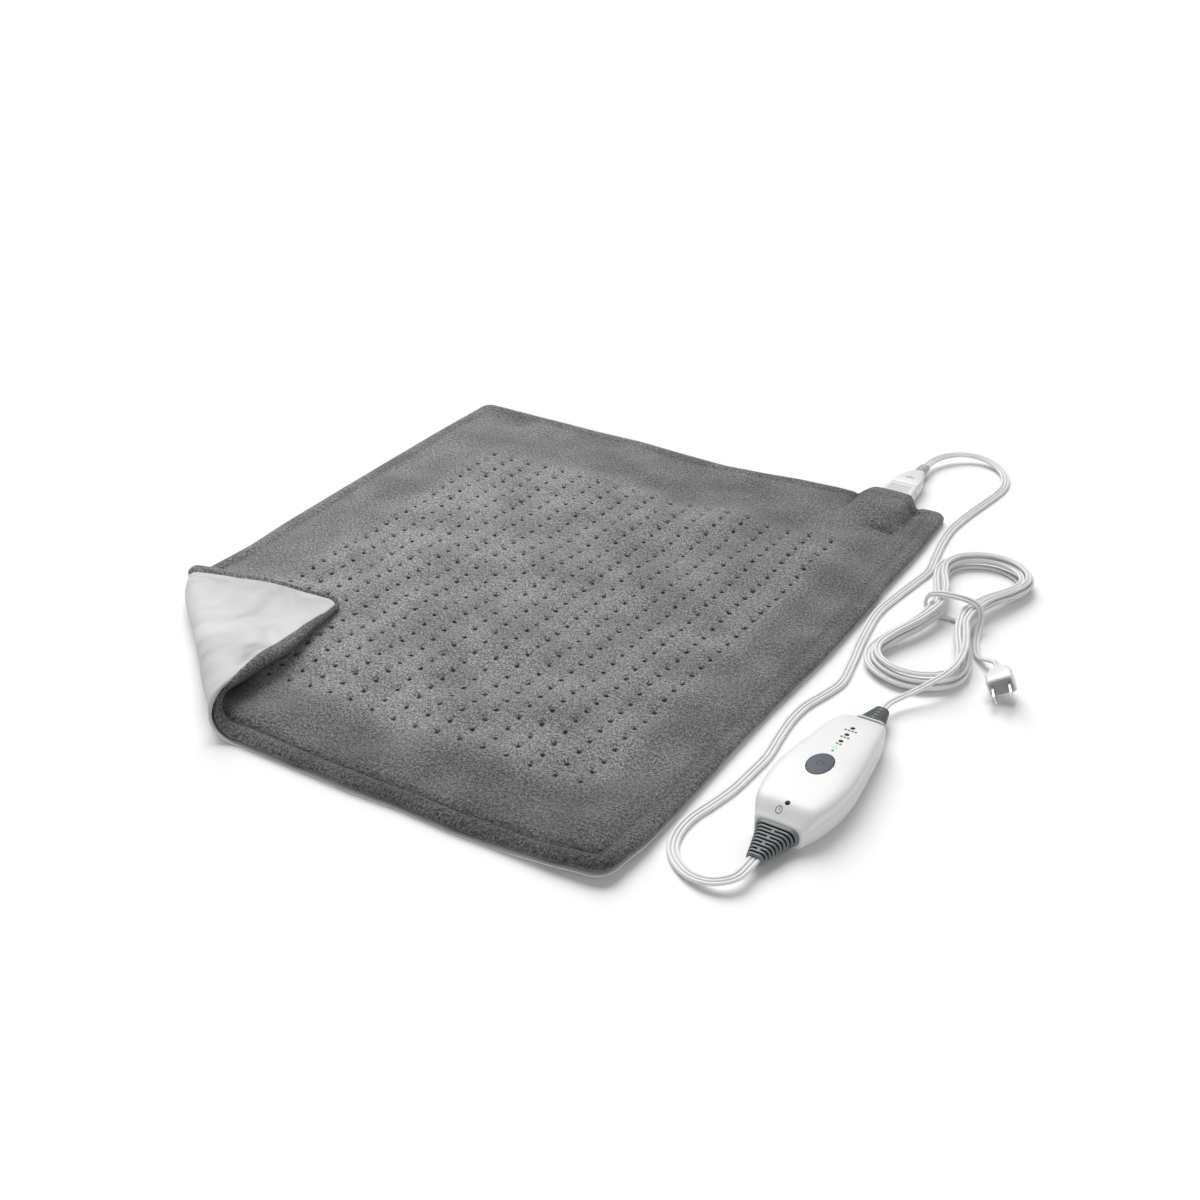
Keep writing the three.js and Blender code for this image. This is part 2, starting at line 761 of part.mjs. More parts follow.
// Contact pins, and the slots that they pass through
const pinX = (index) => socketX + (index - (pinCount - 1) / 2) * pinPitch;
const pinMiddle = cavityEnd + pinReach - pinLength / 2;
function pinBlock(index, room) {
  return box(pinWidth + 2 * room, pinLength + 2 * room, pinThickness + 2 * room,
    pinX(index), pinMiddle, socketAxisHeight);
}

// Release buttons: a round head through the side wall on a leaf that lies in a pocket of the wall
const releaseY = socketMouth - releaseFromMouth;
const releaseHeight = socketAxisHeight + releaseRise;
const socketHalfAtRelease = socketWidthAt(releaseY) / 2;
const leafOuter = cavityWidth / 2 + releaseTravel + gap + releaseLeafThickness;

function releaseShape(side, room) {
  const headLength = socketHalfAtRelease + releaseProud - leafOuter + releaseLeafThickness / 2;
  const head = new THREE.CylinderGeometry(releaseDiameter / 2 + room, releaseDiameter / 2 + room,
    headLength + 2 * room, releaseSides)
    .rotateZ(Math.PI / 2)
    .translate(
      socketX + side * (socketHalfAtRelease + releaseProud + room - (headLength + 2 * room) / 2),
      releaseY,
      releaseHeight,
    );
  const leaf = box(releaseLeafThickness + 2 * room, releaseLeafLength + 2 * room,
    releaseLeafHeight + 2 * room, socketX + side * (leafOuter - releaseLeafThickness / 2),
    releaseY, releaseHeight);
  return toSolid(head).add(toSolid(leaf));
}

function releasePocket(side) {
  const depth = leafOuter + gap - cavityWidth / 2 + overrun;
  return toSolid(box(depth, releaseLeafLength + 2 * gap, releaseLeafHeight + 2 * gap,
    socketX + side * (leafOuter + gap - depth / 2), releaseY, releaseHeight));
}

let socketBody = socketBlock.subtract(cavity).subtract(socketRecess);
for (let i = 0; i < pinCount; i += 1) socketBody = socketBody.subtract(toSolid(pinBlock(i, gap)));
for (const side of [-1, 1]) {
  socketBody = socketBody.subtract(releaseShape(side, gap)).subtract(releasePocket(side));
}

// The part of a solid above or below a parting height, half a gap away from it
function splitHalf(solid, partingHeight, upper, x, y) {
  const reach = padLength;
  const direction = upper ? 1 : -1;
  const keep = box(reach, reach, reach, x, y, partingHeight + direction * (reach + gap) / 2);
  return solid.intersect(toSolid(keep));
}

addMesh('socket_upper_shell',
  fromSolid(splitHalf(socketBody, socketAxisHeight, true, socketX, socketMouth)), whitePlastic);
addMesh('socket_lower_shell',
  fromSolid(splitHalf(socketBody, socketAxisHeight, false, socketX, socketMouth)), whitePlastic);
for (let i = 0; i < pinCount; i += 1) addMesh(`socket_pin_${i + 1}`, pinBlock(i, 0), brass);
addMesh('release_button_left', fromSolid(releaseShape(-1, 0)), whitePlastic);
addMesh('release_button_right', fromSolid(releaseShape(1, 0)), whitePlastic);

// Plush sleeve over the socket's root: an arch on two flanges that ramps down to the pad
function sleeveRing(y, rise) {
  const half = notchHalfWidth + sleeveThickness + sleeveFlange;
  const base = plushTop + gap;
  const spanShares = [1, 0.9, 0.78, 0.6, 0.3, 0];
  const riseShares = [0, 0.22, 0.62, 0.86, 0.98, 1];
  const outer = spanShares.map((share, i) => new THREE.Vector2(half * share,
    base + sleeveThickness + rise * riseShares[i]));
  outer[0].y = base + sleeveThickness / 3;
  const innerHalf = half - sleeveFlange;
  const inner = spanShares.map((share, i) => new THREE.Vector2(innerHalf * share,
    base + rise * riseShares[i]));
  const section = [
    new THREE.Vector2(half, base),
    ...outer,
    ...outer.slice(0, -1).reverse().map((point) => new THREE.Vector2(-point.x, point.y)),
    new THREE.Vector2(-half, base),
    ...inner.map((point) => new THREE.Vector2(-point.x, point.y)),
    ...inner.slice(0, -1).reverse(),
  ];
  return section.map((point) => new THREE.Vector3(socketX + point.x, y, point.y)).reverse();
}

// A loft whose ends aren't convex is closed with triangles of its own outline
function loftOpenSection(rings) {
  const corners = [];
  const count = rings[0].length;
  for (let k = 0; k + 1 < rings.length; k += 1) {
    for (let i = 0; i < count; i += 1) {
      const next = (i + 1) % count;
      corners.push(rings[k][i], rings[k][next], rings[k + 1][next]);
      corners.push(rings[k][i], rings[k + 1][next], rings[k + 1][i]);
    }
  }
  const first = rings[0];
  const last = rings[rings.length - 1];
  const flat = (ring) => ring.map((point) => new THREE.Vector2(point.x, point.z));
  THREE.ShapeUtils.triangulateShape(flat(first), []).forEach((face) => {
    corners.push(...orientedFace(first, face, -1));
  });
  THREE.ShapeUtils.triangulateShape(flat(last), []).forEach((face) => {
    corners.push(...orientedFace(last, face, 1));
  });
  return fromTriangles(corners);
}

function orientedFace(ring, face, direction) {
  const [a, b, c] = face.map((i) => ring[i]);
  const normal = b.clone().sub(a).cross(c.clone().sub(a));
  return Math.sign(normal.y) === direction ? [a, b, c] : [a, c, b];
}

const socketTop = socketAxisHeight + socketHeight / 2;
const sleeveRise = socketTop + gap - plushTop + sleeveThickness / 2;
const sleeveRingShares = [[0, 0.08], [0.5, 0.7], [1, 1]];
const sleeveRings = sleeveRingShares.map(([share, riseShare]) => sleeveRing(
  padBack - sleeveRootLength + sleeveRampLength * share,
  sleeveRise * riseShare,
));
sleeveRings.push(sleeveRing(padBack - sleeveSetback, sleeveRise));
addMesh('socket_sleeve', loftOpenSection(sleeveRings), plushMaterial);

// Plug of the pad lead: tongue, tapering body in two shells, and a short ribbed strain relief
const plugFront = socketMouth + gap;
const plugEnd = plugFront + plugLength;
const plugRing = (y, width, height) => rectangleRing(width, height, socketCornerRadius, y,
  socketAxisHeight, socketX);
const tongue = box(cavityWidth - 2 * gap, cavityDepth + overrun - gap, cavityHeight - 2 * gap,
  socketX, cavityEnd + gap + (cavityDepth + overrun - gap) / 2, socketAxisHeight);
let plugBody = toSolid(loft([
  plugRing(plugFront, socketMouthWidth - plugSideInset, socketHeight - plugSideInset),
  plugRing(plugFront + plugSideInset, socketMouthWidth, socketHeight),
  plugRing(plugFront + plugTaperStart, socketMouthWidth - 2 * plugSideInset, socketHeight),
  plugRing(plugFront + (plugTaperStart + plugLength) / 2,
    (socketMouthWidth + plugEndWidth) / 2 - plugSideInset, (socketHeight + plugEndHeight) / 2),
  plugRing(plugEnd, plugEndWidth, plugEndHeight),
])).add(toSolid(tongue));
for (let i = 0; i < pinCount; i += 1) {
  const slot = box(pinWidth + 2 * gap, pinReach + overrun, pinThickness + 2 * gap, pinX(i),
    cavityEnd + (pinReach + overrun) / 2, socketAxisHeight);
  plugBody = plugBody.subtract(toSolid(slot));
}
const arrow = new THREE.ExtrudeGeometry(new THREE.Shape([
  new THREE.Vector2(-arrowWidth / 2, -arrowLength / 2),
  new THREE.Vector2(arrowWidth / 2, -arrowLength / 2),
  new THREE.Vector2(0, arrowLength / 2),
]), { depth: arrowHeight + overrun, bevelEnabled: false })
  .translate(socketX, plugEnd - arrowFromEnd - arrowLength, socketTop - overrun - arrowHeight);

// Connector upper and lower shells ride together when the plug is pulled
const plugUpper = splitHalf(plugBody, socketAxisHeight, true, socketX, plugFront).add(toSolid(arrow));
addMesh('connector_upper_shell', fromSolid(plugUpper), whitePlastic);
addMesh('connector_lower_shell',
  fromSolid(splitHalf(plugBody, socketAxisHeight, false, socketX, plugFront)), whitePlastic);

// A ribbed sleeve along +Y: collar, ribs that shrink towards the tip, and a flat tip
const ribTaperPower = 0.75;
const ribCornerShare = 0.42;
const ribGrooveShares = [0.1, 0.5, 0.6];

function ribbedRings(sizes) {
  const { start, length, baseWidth, baseHeight, tipWidth, tipHeight, collar, ribs, depth } = sizes;
  const rings = [];
  const ring = (share, sink) => {
    const ease = share ** ribTaperPower;
    const width = THREE.MathUtils.lerp(baseWidth, tipWidth, ease) - 2 * sink;
    const height = THREE.MathUtils.lerp(baseHeight, tipHeight, ease) - 2 * sink;
    const radius = Math.min(width, height) * ribCornerShare;
    rings.push(rectangleRing(width, height, radius, start + length * share,
      sizes.axisHeight, sizes.x));
  };
  const collarShare = collar / length;
  const [grooveStart, grooveEnd, crest] = ribGrooveShares;
  ring(0, 0);
  ring(collarShare, 0);
  for (let i = 0; i < ribs; i += 1) {
    const span = (1 - collarShare) / ribs;
    const from = collarShare + span * i;
    ring(from + span * grooveStart, depth);
    ring(from + span * grooveEnd, depth);
    ring(from + span * crest, 0);
    ring(from + span, 0);
  }
  return rings;
}

addMesh('connector_strain_relief', loft(ribbedRings({
  start: plugEnd + gap,
  length: leadReliefLength,
  baseWidth: plugEndWidth - gap,
  baseHeight: plugEndHeight - gap,
  tipWidth: leadReliefTipWidth,
  tipHeight: leadReliefTipHeight,
  collar: leadReliefRibDepth,
  ribs: leadReliefRibs,
  depth: leadReliefRibDepth,
  axisHeight: socketAxisHeight,
  x: socketX,
})), paleRubber);

// Controller: upper and lower shells with a leaf-shaped outline
const controllerAlong = new THREE.Vector3(0, 1, 0)
  .applyAxisAngle(new THREE.Vector3(0, 0, 1), controllerTurn);
const controllerPadEnd = new THREE.Vector3(padSide + padEndFromSide, padBack + padEndFromBack, 0);
const controllerPlace = (alongFromPadEnd, height) => controllerPadEnd.clone()
  .addScaledVector(controllerAlong, alongFromPadEnd).setZ(height);
const controller = new THREE.Group();
controller.position.copy(controllerPlace(controllerLength / 2, 0));
controller.rotation.z = controllerTurn;
heatingPad.add(controller);

// Half-width along the body, from the pad lead's end to the mains end, as shares of the full half
const outlineShares = [0.61, 0.8, 0.91, 0.975, 1, 0.99, 0.945, 0.89, 0.83, 0.775, 0.705, 0.6, 0.42];
// Height along the body, as shares of the way from the end's height to the crown
const crownShares = [0, 0.8, 0.93, 0.97, 0.99, 1, 0.97, 0.94, 0.91, 0.87, 0.8, 0.6, 0];

function shareAt(shares, along) {
  const curve = new THREE.CatmullRomCurve3(
    shares.map((share, i) => new THREE.Vector3(i / (shares.length - 1), share, 0)),
  );
  return curve.getPoint(THREE.MathUtils.clamp(along, 0, 1)).y;
}

const bodyHalfWidthAt = (along) => controllerWidth / 2 * shareAt(outlineShares, along);
const bodyTopAt = (along) => THREE.MathUtils.lerp(
  THREE.MathUtils.lerp(padEndHeight, mainsEndHeight, along),
  controllerHeight,
  shareAt(crownShares, along),
);

// Section of the body: shares of the half-width, and of the height below and above the parting line
const lowerSectionShares = [[0.83, 0], [0.93, 0.12], [0.975, 0.4], [0.99, 1]];
const upperSectionShares = [[0.99, 0], [1, 0.52], [0.965, 0.74], [0.89, 0.9], [0.77, 0.97], [0.35, 1]];

function bodySection(along, wall) {
  const half = bodyHalfWidthAt(along) - wall;
  const top = bodyTopAt(along) - wall;
  const right = [];
  lowerSectionShares.forEach(([across, up]) => {
    right.push(new THREE.Vector2(half * across, THREE.MathUtils.lerp(wall, controllerPartingHeight, up)));
  });
  upperSectionShares.slice(1).forEach(([across, up]) => {
    right.push(new THREE.Vector2(half * across, THREE.MathUtils.lerp(controllerPartingHeight, top, up)));
  });
  const left = right.map((point) => new THREE.Vector2(-point.x, point.y)).reverse();
  return [...right, ...left];
}

// The rings of the body stand closer together towards its two ends
function bodyLoft(wall) {
  const rings = [];
  for (let i = 0; i < controllerStations; i += 1) {
    const share = (1 - Math.cos(Math.PI * i / (controllerStations - 1))) / 2;
    const y = THREE.MathUtils.lerp(-controllerLength / 2 + wall, controllerLength / 2 - wall, share);
    const along = y / controllerLength + 0.5;
    rings.push(bodySection(along, wall).map((point) => new THREE.Vector3(point.x, y, point.y)).reverse());
  }
  return loft(rings);
}

const bodyOuter = toSolid(bodyLoft(0));
const bodyInner = toSolid(bodyLoft(controllerWall));
let bodyShell = bodyOuter.subtract(bodyInner);

// Strain reliefs: the neck passes the end wall and a flange holds it inside
function reliefSolid(end, sizes, room) {
  const outward = end > 0 ? 1 : -1;
  const faceY = controllerLength / 2 + gap;
  const ribbed = loft(ribbedRings({ ...sizes, start: faceY, axisHeight: reliefAxisHeight, x: 0 }));
  const neckLength = controllerWall + 3 * gap + overrun;
  const neck = box(reliefNeckWidth + 2 * room, neckLength, reliefNeckHeight + 2 * room,
    0, faceY + overrun / 2 - neckLength / 2, reliefAxisHeight);
  const flangeY = faceY + overrun / 2 - neckLength - reliefFlangeLength / 2;
  const flange = box(reliefNeckWidth + 2 * reliefFlangeGrowth, reliefFlangeLength + overrun / 2,
    reliefNeckHeight + 2 * reliefFlangeGrowth, 0, flangeY, reliefAxisHeight);
  const turn = (geometry) => (outward > 0 ? geometry : geometry.rotateZ(Math.PI));
  return {
    piece: toSolid(turn(ribbed)).add(toSolid(turn(neck.clone()))).add(toSolid(turn(flange))),
    hole: toSolid(turn(neck)),
  };
}

const padReliefSizes = {
  length: padReliefLength,
  baseWidth: padReliefBaseWidth,
  baseHeight: padReliefBaseHeight,
  tipWidth: padReliefTipWidth,
  tipHeight: padReliefTipHeight,
  collar: reliefCollar,
  ribs: padReliefRibs,
  depth: reliefRibDepth,
};
const mainsReliefSizes = {
  length: mainsReliefLength,
  baseWidth: mainsReliefBaseWidth,
  baseHeight: mainsReliefBaseHeight,
  tipWidth: mainsReliefTipWidth,
  tipHeight: mainsReliefTipHeight,
  collar: reliefCollar,
  ribs: mainsReliefRibs,
  depth: reliefRibDepth,
};
bodyShell = bodyShell
  .subtract(reliefSolid(-1, padReliefSizes, gap).hole)
  .subtract(reliefSolid(1, mainsReliefSizes, gap).hole);

let upperShell = splitHalf(bodyShell, controllerPartingHeight, true, 0, 0);
let lowerShell = splitHalf(bodyShell, controllerPartingHeight, false, 0, 0);

// Screw posts: the board rests on the lower ones, the screws hold in the upper ones
const bossPlaces = [];
for (const x of [-bossAcross, bossAcross]) {
  for (const y of [-bossAlong, bossAlong]) bossPlaces.push([x, y]);
}
const boardTop = boardHeight + boardThickness;
const upperBossBottom = boardTop + gap;
const screwTop = upperBossBottom + screwHoldingLength;
bossPlaces.forEach(([x, y]) => {
  const lowerPost = post(bossDiameter / 2, x, y, controllerWall / 2, boardHeight - gap, bossSides);
  const upperPost = post(bossDiameter / 2, x, y, upperBossBottom, controllerHeight, bossSides);
  const pilot = post(screwDiameter / 2 + gap, x, y, -overrun, screwTop + gap, bossSides);
  const sink = post(screwHeadDiameter / 2 + gap, x, y, -overrun,
    screwHeadDepth + screwHeadHeight + gap, bossSides);
  lowerShell = lowerShell.add(toSolid(lowerPost).intersect(bodyOuter))
    .subtract(toSolid(pilot)).subtract(toSolid(sink));
  upperShell = upperShell.add(toSolid(upperPost).intersect(bodyOuter)).subtract(toSolid(pilot));
});

// Openings in the face for the button and the lamps
const alongOf = (y) => y / controllerLength + 0.5;
const buttonY = buttonFromCentre;
const buttonFaceTop = bodyTopAt(alongOf(buttonY));
const buttonHole = post(buttonLength / 2 + gap, 0, 0, buttonFaceTop - controllerWall - overrun,
  buttonFaceTop + overrun, buttonSides)
  .scale((buttonWidth / 2 + gap) / (buttonLength / 2 + gap), 1, 1)
  .translate(0, buttonY, 0);
upperShell = upperShell.subtract(toSolid(buttonHole));
const lampPlaces = [];
for (let i = 0; i < lampCount; i += 1) lampPlaces.push(lampFirstFromCentre + lampPitch * i);
lampPlaces.push(timerLampFromPadEnd - controllerLength / 2);
lampPlaces.forEach((y) => {
  const faceTop = bodyTopAt(alongOf(y));
  const hole = post(lampDiameter / 2 + gap, 0, y, faceTop - controllerWall - overrun,
    faceTop + overrun, lampSides);
  upperShell = upperShell.subtract(toSolid(hole));
});

addMesh('controller_upper_shell', fromSolid(upperShell), whitePlastic, controller);
addMesh('controller_lower_shell', fromSolid(lowerShell), whitePlastic, controller);
addMesh('pad_lead_strain_relief', fromSolid(reliefSolid(-1, padReliefSizes, 0).piece), greyRubber,
  controller);
addMesh('mains_strain_relief', fromSolid(reliefSolid(1, mainsReliefSizes, 0).piece), greyRubber,
  controller);

// Circuit board with clearance holes for the screws
const boardLength = controllerLength - boardPadEndRoom - boardMainsEndRoom;
let board = toSolid(box(boardWidth, boardLength, boardThickness, 0,
  (boardPadEndRoom - boardMainsEndRoom) / 2, boardHeight + boardThickness / 2));
bossPlaces.forEach(([x, y]) => {
  board = board.subtract(toSolid(post(screwDiameter / 2 + gap, x, y, boardHeight - overrun,
    boardTop + overrun, bossSides)));
});
addMesh('circuit_board', fromSolid(board), boardMaterial, controller);

bossPlaces.forEach(([x, y], index) => {
  const profile = [
    new THREE.Vector2(0, screwHeadDepth),
    new THREE.Vector2(screwHeadDiameter / 2, screwHeadDepth),
    new THREE.Vector2(screwHeadDiameter / 2, screwHeadDepth + screwHeadHeight),
    new THREE.Vector2(screwDiameter / 2, screwHeadDepth + screwHeadHeight),
    new THREE.Vector2(screwDiameter / 2, screwTop),
    new THREE.Vector2(0, screwTop),
  ];
  addMesh(`housing_screw_${index + 1}`,
    new THREE.LatheGeometry(profile, bossSides).rotateX(Math.PI / 2).translate(x, y, 0),
    nickel, controller);
});

// Power button: an oval domed cap with a flange under the face and a stem down to the switch
const flangeReach = buttonLength / 2 + buttonFlangeWidth;
const flangeTop = Math.min(
  bodyTopAt(alongOf(buttonY - flangeReach)),
  bodyTopAt(alongOf(buttonY + flangeReach)),
) - controllerWall - buttonFlangeRoom;
const flangeBottom = flangeTop - buttonFlangeThickness;
const plungerTop = boardTop + gap + switchBodyHeight + gap + plungerHeight;
const stemBottom = plungerTop + gap;
const capTop = buttonFaceTop - buttonRimDrop;
const buttonProfile = [
  new THREE.Vector2(0, flangeBottom),
  new THREE.Vector2(flangeReach, flangeBottom),
  new THREE.Vector2(flangeReach, flangeTop),
  new THREE.Vector2(buttonLength / 2, flangeTop),
  new THREE.Vector2(buttonLength / 2, capTop),
  ...buttonCrownShares.map(([across, up]) => new THREE.Vector2(
    buttonLength / 2 * across,
    capTop + buttonCrown * up,
  )),
];
const buttonCap = new THREE.LatheGeometry(buttonProfile, buttonSides)
  .rotateX(Math.PI / 2)
  .scale(buttonWidth / buttonLength, 1, 1)
  .translate(0, buttonY, 0);
const buttonStem = post(stemDiameter / 2, 0, buttonY, stemBottom, flangeBottom + buttonFlangeThickness / 2,
  bossSides);
addMesh('power_button', fromSolid(toSolid(buttonCap).add(toSolid(buttonStem))), slatePlastic, controller);
addMesh('switch_plunger', post(plungerDiameter / 2, 0, buttonY, plungerTop - plungerHeight, plungerTop,
  lampSides), blackPlastic, controller);

// The switch body has a well that the plunger sinks into
const switchBottom = boardTop + gap;
const switchTop = switchBottom + switchBodyHeight;
const switchWell = post(plungerDiameter / 2 + gap, 0, buttonY, switchTop - buttonTravel - gap,
  switchTop + overrun, lampSides);
addMesh('switch_body', fromSolid(toSolid(box(switchWidth, switchWidth, switchBodyHeight, 0, buttonY,
  switchBottom + switchBodyHeight / 2)).subtract(toSolid(switchWell))), blackPlastic, controller);

// Indicator lamps stand on the board and reach the face
const lampMaterials = [greenLamp, amberLamp, redLamp, redLamp, redLamp];
const lampNames = ['heat_lamp_1', 'heat_lamp_2', 'heat_lamp_3', 'heat_lamp_4', 'timer_lamp'];
lampPlaces.forEach((y, index) => {
  const faceTop = bodyTopAt(alongOf(y));
  const rimTop = faceTop - controllerWall - 5 * gap;
  const domeTop = faceTop + lampProud;
  const radius = lampDiameter / 2;
  const profile = [
    new THREE.Vector2(0, boardTop + gap),
    new THREE.Vector2(lampLegDiameter / 2, boardTop + gap),
    new THREE.Vector2(lampLegDiameter / 2, rimTop - lampRimHeight),
    new THREE.Vector2(radius + lampRimWidth, rimTop - lampRimHeight),
    new THREE.Vector2(radius + lampRimWidth, rimTop),
    new THREE.Vector2(radius, rimTop),
    ...lampDomeShares.map(([across, down]) => new THREE.Vector2(radius * across, domeTop - radius * down)),
  ];
  addMesh(lampNames[index],
    new THREE.LatheGeometry(profile, lampSides).rotateX(Math.PI / 2).translate(0, y, 0),
    lampMaterials[index], controller);
});

// Components that switch the heater and smooth the supply, in two rows beside the lamps
const componentBottom = boardTop + gap;
addMesh('film_capacitor', box(capacitorWidth, capacitorLength, capacitorHeight, componentRowAcross,
  backRowAlong, componentBottom + capacitorHeight / 2), capacitorMaterial, controller);
addMesh('power_triac', box(triacWidth, triacThickness, triacHeight, -componentRowAcross,
  backRowAlong, componentBottom + triacHeight / 2), blackPlastic, controller);
addMesh('fuse', new THREE.CylinderGeometry(fuseDiameter / 2, fuseDiameter / 2, fuseLength, lampSides)
  .translate(componentRowAcross, frontRowAlong, componentBottom + fuseDiameter / 2),
fuseMaterial, controller);
addMesh('control_chip', box(chipWidth, chipLength, chipHeight, -componentRowAcross,
  frontRowAlong, componentBottom + chipHeight / 2), blackPlastic, controller);

// Flat cord section with rounded edges: shares of its half-width and half-thickness
const cordSectionShares = [[1, 0], [0.72, 0.9], [0, 1], [-0.72, 0.9], [-1, 0], [-0.72, -0.9], [0, -1],
  [0.72, -0.9]];

function flatSection(shares, width, thickness) {
  return shares.map(([across, up]) => new THREE.Vector2(width / 2 * across, thickness / 2 * up));
}

// The first and the last stretch of a route stay straight, so the ends are square
function cordTube(route, width, thickness, steps) {
  const path = new THREE.CatmullRomCurve3(route.slice(1, -1));
  const points = [route[0], ...path.getSpacedPoints(steps), route[route.length - 1]];
  return loft(sweep(points, flatSection(cordSectionShares, width, thickness)));
}

// Pad lead, from the plug's strain relief round to the controller. Its bends are places from the
// pad's back right corner.
const padLeadBends = [
  [-49.5, 102, 7.8], [-43, 117, 8], [-32.5, 128.5, 7.6], [-19, 134.5, 6.6], [-5, 133, 5.2],
  [9, 124.5, 3.6], [19.5, 110, 2.2], [24.5, 93, 1.6], [25, 78, 1.6], [21, 47, 1.6], [16, 13, 1.6],
  [13, -21, 1.6], [15, -53, 1.6], [20, -85, 1.6], [24, -112, 1.6], [21, -137, 1.6],
  [17, -167, 1.6], [14, -200, 1.6], [20, -250, 1.6], [27, -287, 1.6], [31, -317, 1.6],
  [27, -338, 1.6], [21.5, -359, 1.6], [20, -381, 1.6], [22, -407, 1.6], [25, -434, 1.6],
  [24, -458, 1.6], [22, -483, 1.6], [17.5, -505, 1.6], [13, -525, 1.6], [13.5, -545, 1.6],
  [19, -561, 1.8], [30, -573, 2.4], [43, -580, 3.6], [58, -580.5, 6], [69, -572.5, 8.2],
];
const leadStartY = plugEnd + gap + leadReliefLength + gap;
const padReliefTip = -padReliefLength - 2 * gap;
const padLeadRoute = [
  new THREE.Vector3(socketX, leadStartY, socketAxisHeight),
  new THREE.Vector3(socketX, leadStartY + cordEndStretch, socketAxisHeight),
  ...padLeadBends.map(([x, y, z]) => new THREE.Vector3(padSide + x, padBack + y, z)),
  controllerPlace(padReliefTip - cordEndStretch, reliefAxisHeight),
  controllerPlace(padReliefTip, reliefAxisHeight),
];
addMesh('pad_lead_cord', cordTube(padLeadRoute, leadWidth, leadThickness, leadSteps), cordMaterial);

// Mains cord from the controller up onto the hank. Its bends, the hank and the plug have their
// places from the tip of the controller's strain relief.
const mainsStart = controllerPlace(controllerLength + mainsReliefLength + 2 * gap, reliefAxisHeight);
const mainsPlace = ([x, y, z]) => new THREE.Vector3(mainsStart.x + x, mainsStart.y + y, z);
const mainsBends = [
  [0.3, 11.83, 9], [4.06, 22.33, 9.2], [11.76, 34.83, 11.4], [19.76, 46.83, 15.4],
  [25.26, 59.83, 17.2], [27.86, 78.83, 17.6], [24.86, 104.83, 17.6], [17.26, 128.83, 17.2],
  [11.86, 143.83, 16.8], [10.76, 150.83, 16.7], [10.76, 157.48, 16.7],
];
addMesh('mains_cord_lead', cordTube([mainsStart, ...mainsBends.map(mainsPlace)], mainsWidth,
  mainsThickness, mainsSteps), cordMaterial);

// Base outline of the hank: a loop that is drawn in at its waist
const hankX = mainsStart.x + hankAcross;
const hankY = mainsStart.y + hankAlong;

function hankBase(angle) {
  const across = Math.cos(angle);
  return new THREE.Vector2(
    hankHalfWidth * across * (1 - hankWaistShare * across ** hankWaistRoundness),
    hankHalfLength * Math.sin(angle),
  );
}

// Layer heights count down from the top one, where the cord comes in
const hankLayers = hankLayerEnds.length + 1;
const hankWaistPower = 8;
const hankSinkTurns = [hankTurns - 0.25, hankTurns - 0.1];
const hankFloor = mainsThickness / 2 + cordFloorGap;

// The cord spirals in and out at a steady rate, turning back where it drops to the next layer
function hankInset(turn) {
  const [first, second, third] = hankLayerEnds;
  if (turn <= first) return hankPitch * turn;
  if (turn <= second) return hankPitch * (2 * first - turn);
  if (turn <= third) return hankPitch * (2 * first - 2 * second + turn);
  return hankPitch * (2 * first - 2 * second + 2 * third - turn);
}

function hankHeight(turn) {
  let layer = hankLayers - 1;
  hankLayerEnds.forEach((end) => {
    layer -= THREE.MathUtils.smoothstep(turn, end - hankDropTurns, end + hankDropTurns);
  });
  const waist = Math.cos(turn * 2 * Math.PI) ** hankWaistPower;
  const lastRun = 1 - THREE.MathUtils.smoothstep(turn, ...hankSinkTurns);
  return hankFloor + layer * hankLayerStep + hankWaistLift * waist * lastRun;
}

function hankPoint(turn) {
  const angle = turn * 2 * Math.PI;
  const step = Math.PI / 180;
  const base = hankBase(angle);
  const tangent = hankBase(angle + step).sub(hankBase(angle - step)).normalize();
  const inset = hankInset(turn);
  return new THREE.Vector3(
    hankX + base.x - tangent.y * inset,
    hankY + base.y + tangent.x * inset,
    hankHeight(turn),
  );
}

// The last turn leaves the waist, passes under it and wraps once round both runs
const wrapRoute = [
  [16.5, -12, 1.6], [14.2, -3.5, 1.6], [8, 2.7, 1.6], [-0.5, 5, 1.6], [-10, 5, 1.6], [-18, 5, 1.9],
  [-24, 5.3, 4.8], [-26, 5.8, 11], [-23.6, 6.2, 17.2], [-16, 6.6, 20.7], [-3, 6.8, 22], [10, 6, 21.9],
  [18.8, 4, 19.4], [22.4, 0.5, 13.4], [23.2, -4, 7], [24.6, -11, 2.6], [26.5, -19, 1.6], [29, -26, 1.6],
];
const hankStart = hankPoint(0);
const hankPoints = [hankStart.clone().setY(hankStart.y - hankEndStretch)];
const hankSteps = hankTurns * hankStepsPerTurn - 1;
for (let i = 0; i <= hankSteps; i += 1) hankPoints.push(hankPoint(i / hankStepsPerTurn));
wrapRoute.forEach(([x, y, z]) => hankPoints.push(new THREE.Vector3(hankX + x, hankY + y, z)));

// Six-sided flat section of the wound cord
const hankSectionShares = [[1, 0], [0.58, 1], [-0.58, 1], [-1, 0], [-0.58, -1], [0.58, -1]];
const hankSection = flatSection(hankSectionShares, mainsWidth, mainsThickness);
const hankRings = sweep(hankPoints, hankSection, hankSteps, hankPoints.length - wrapTurnSteps);
addMesh('mains_cord_hank', loft(hankRings), cordMaterial);

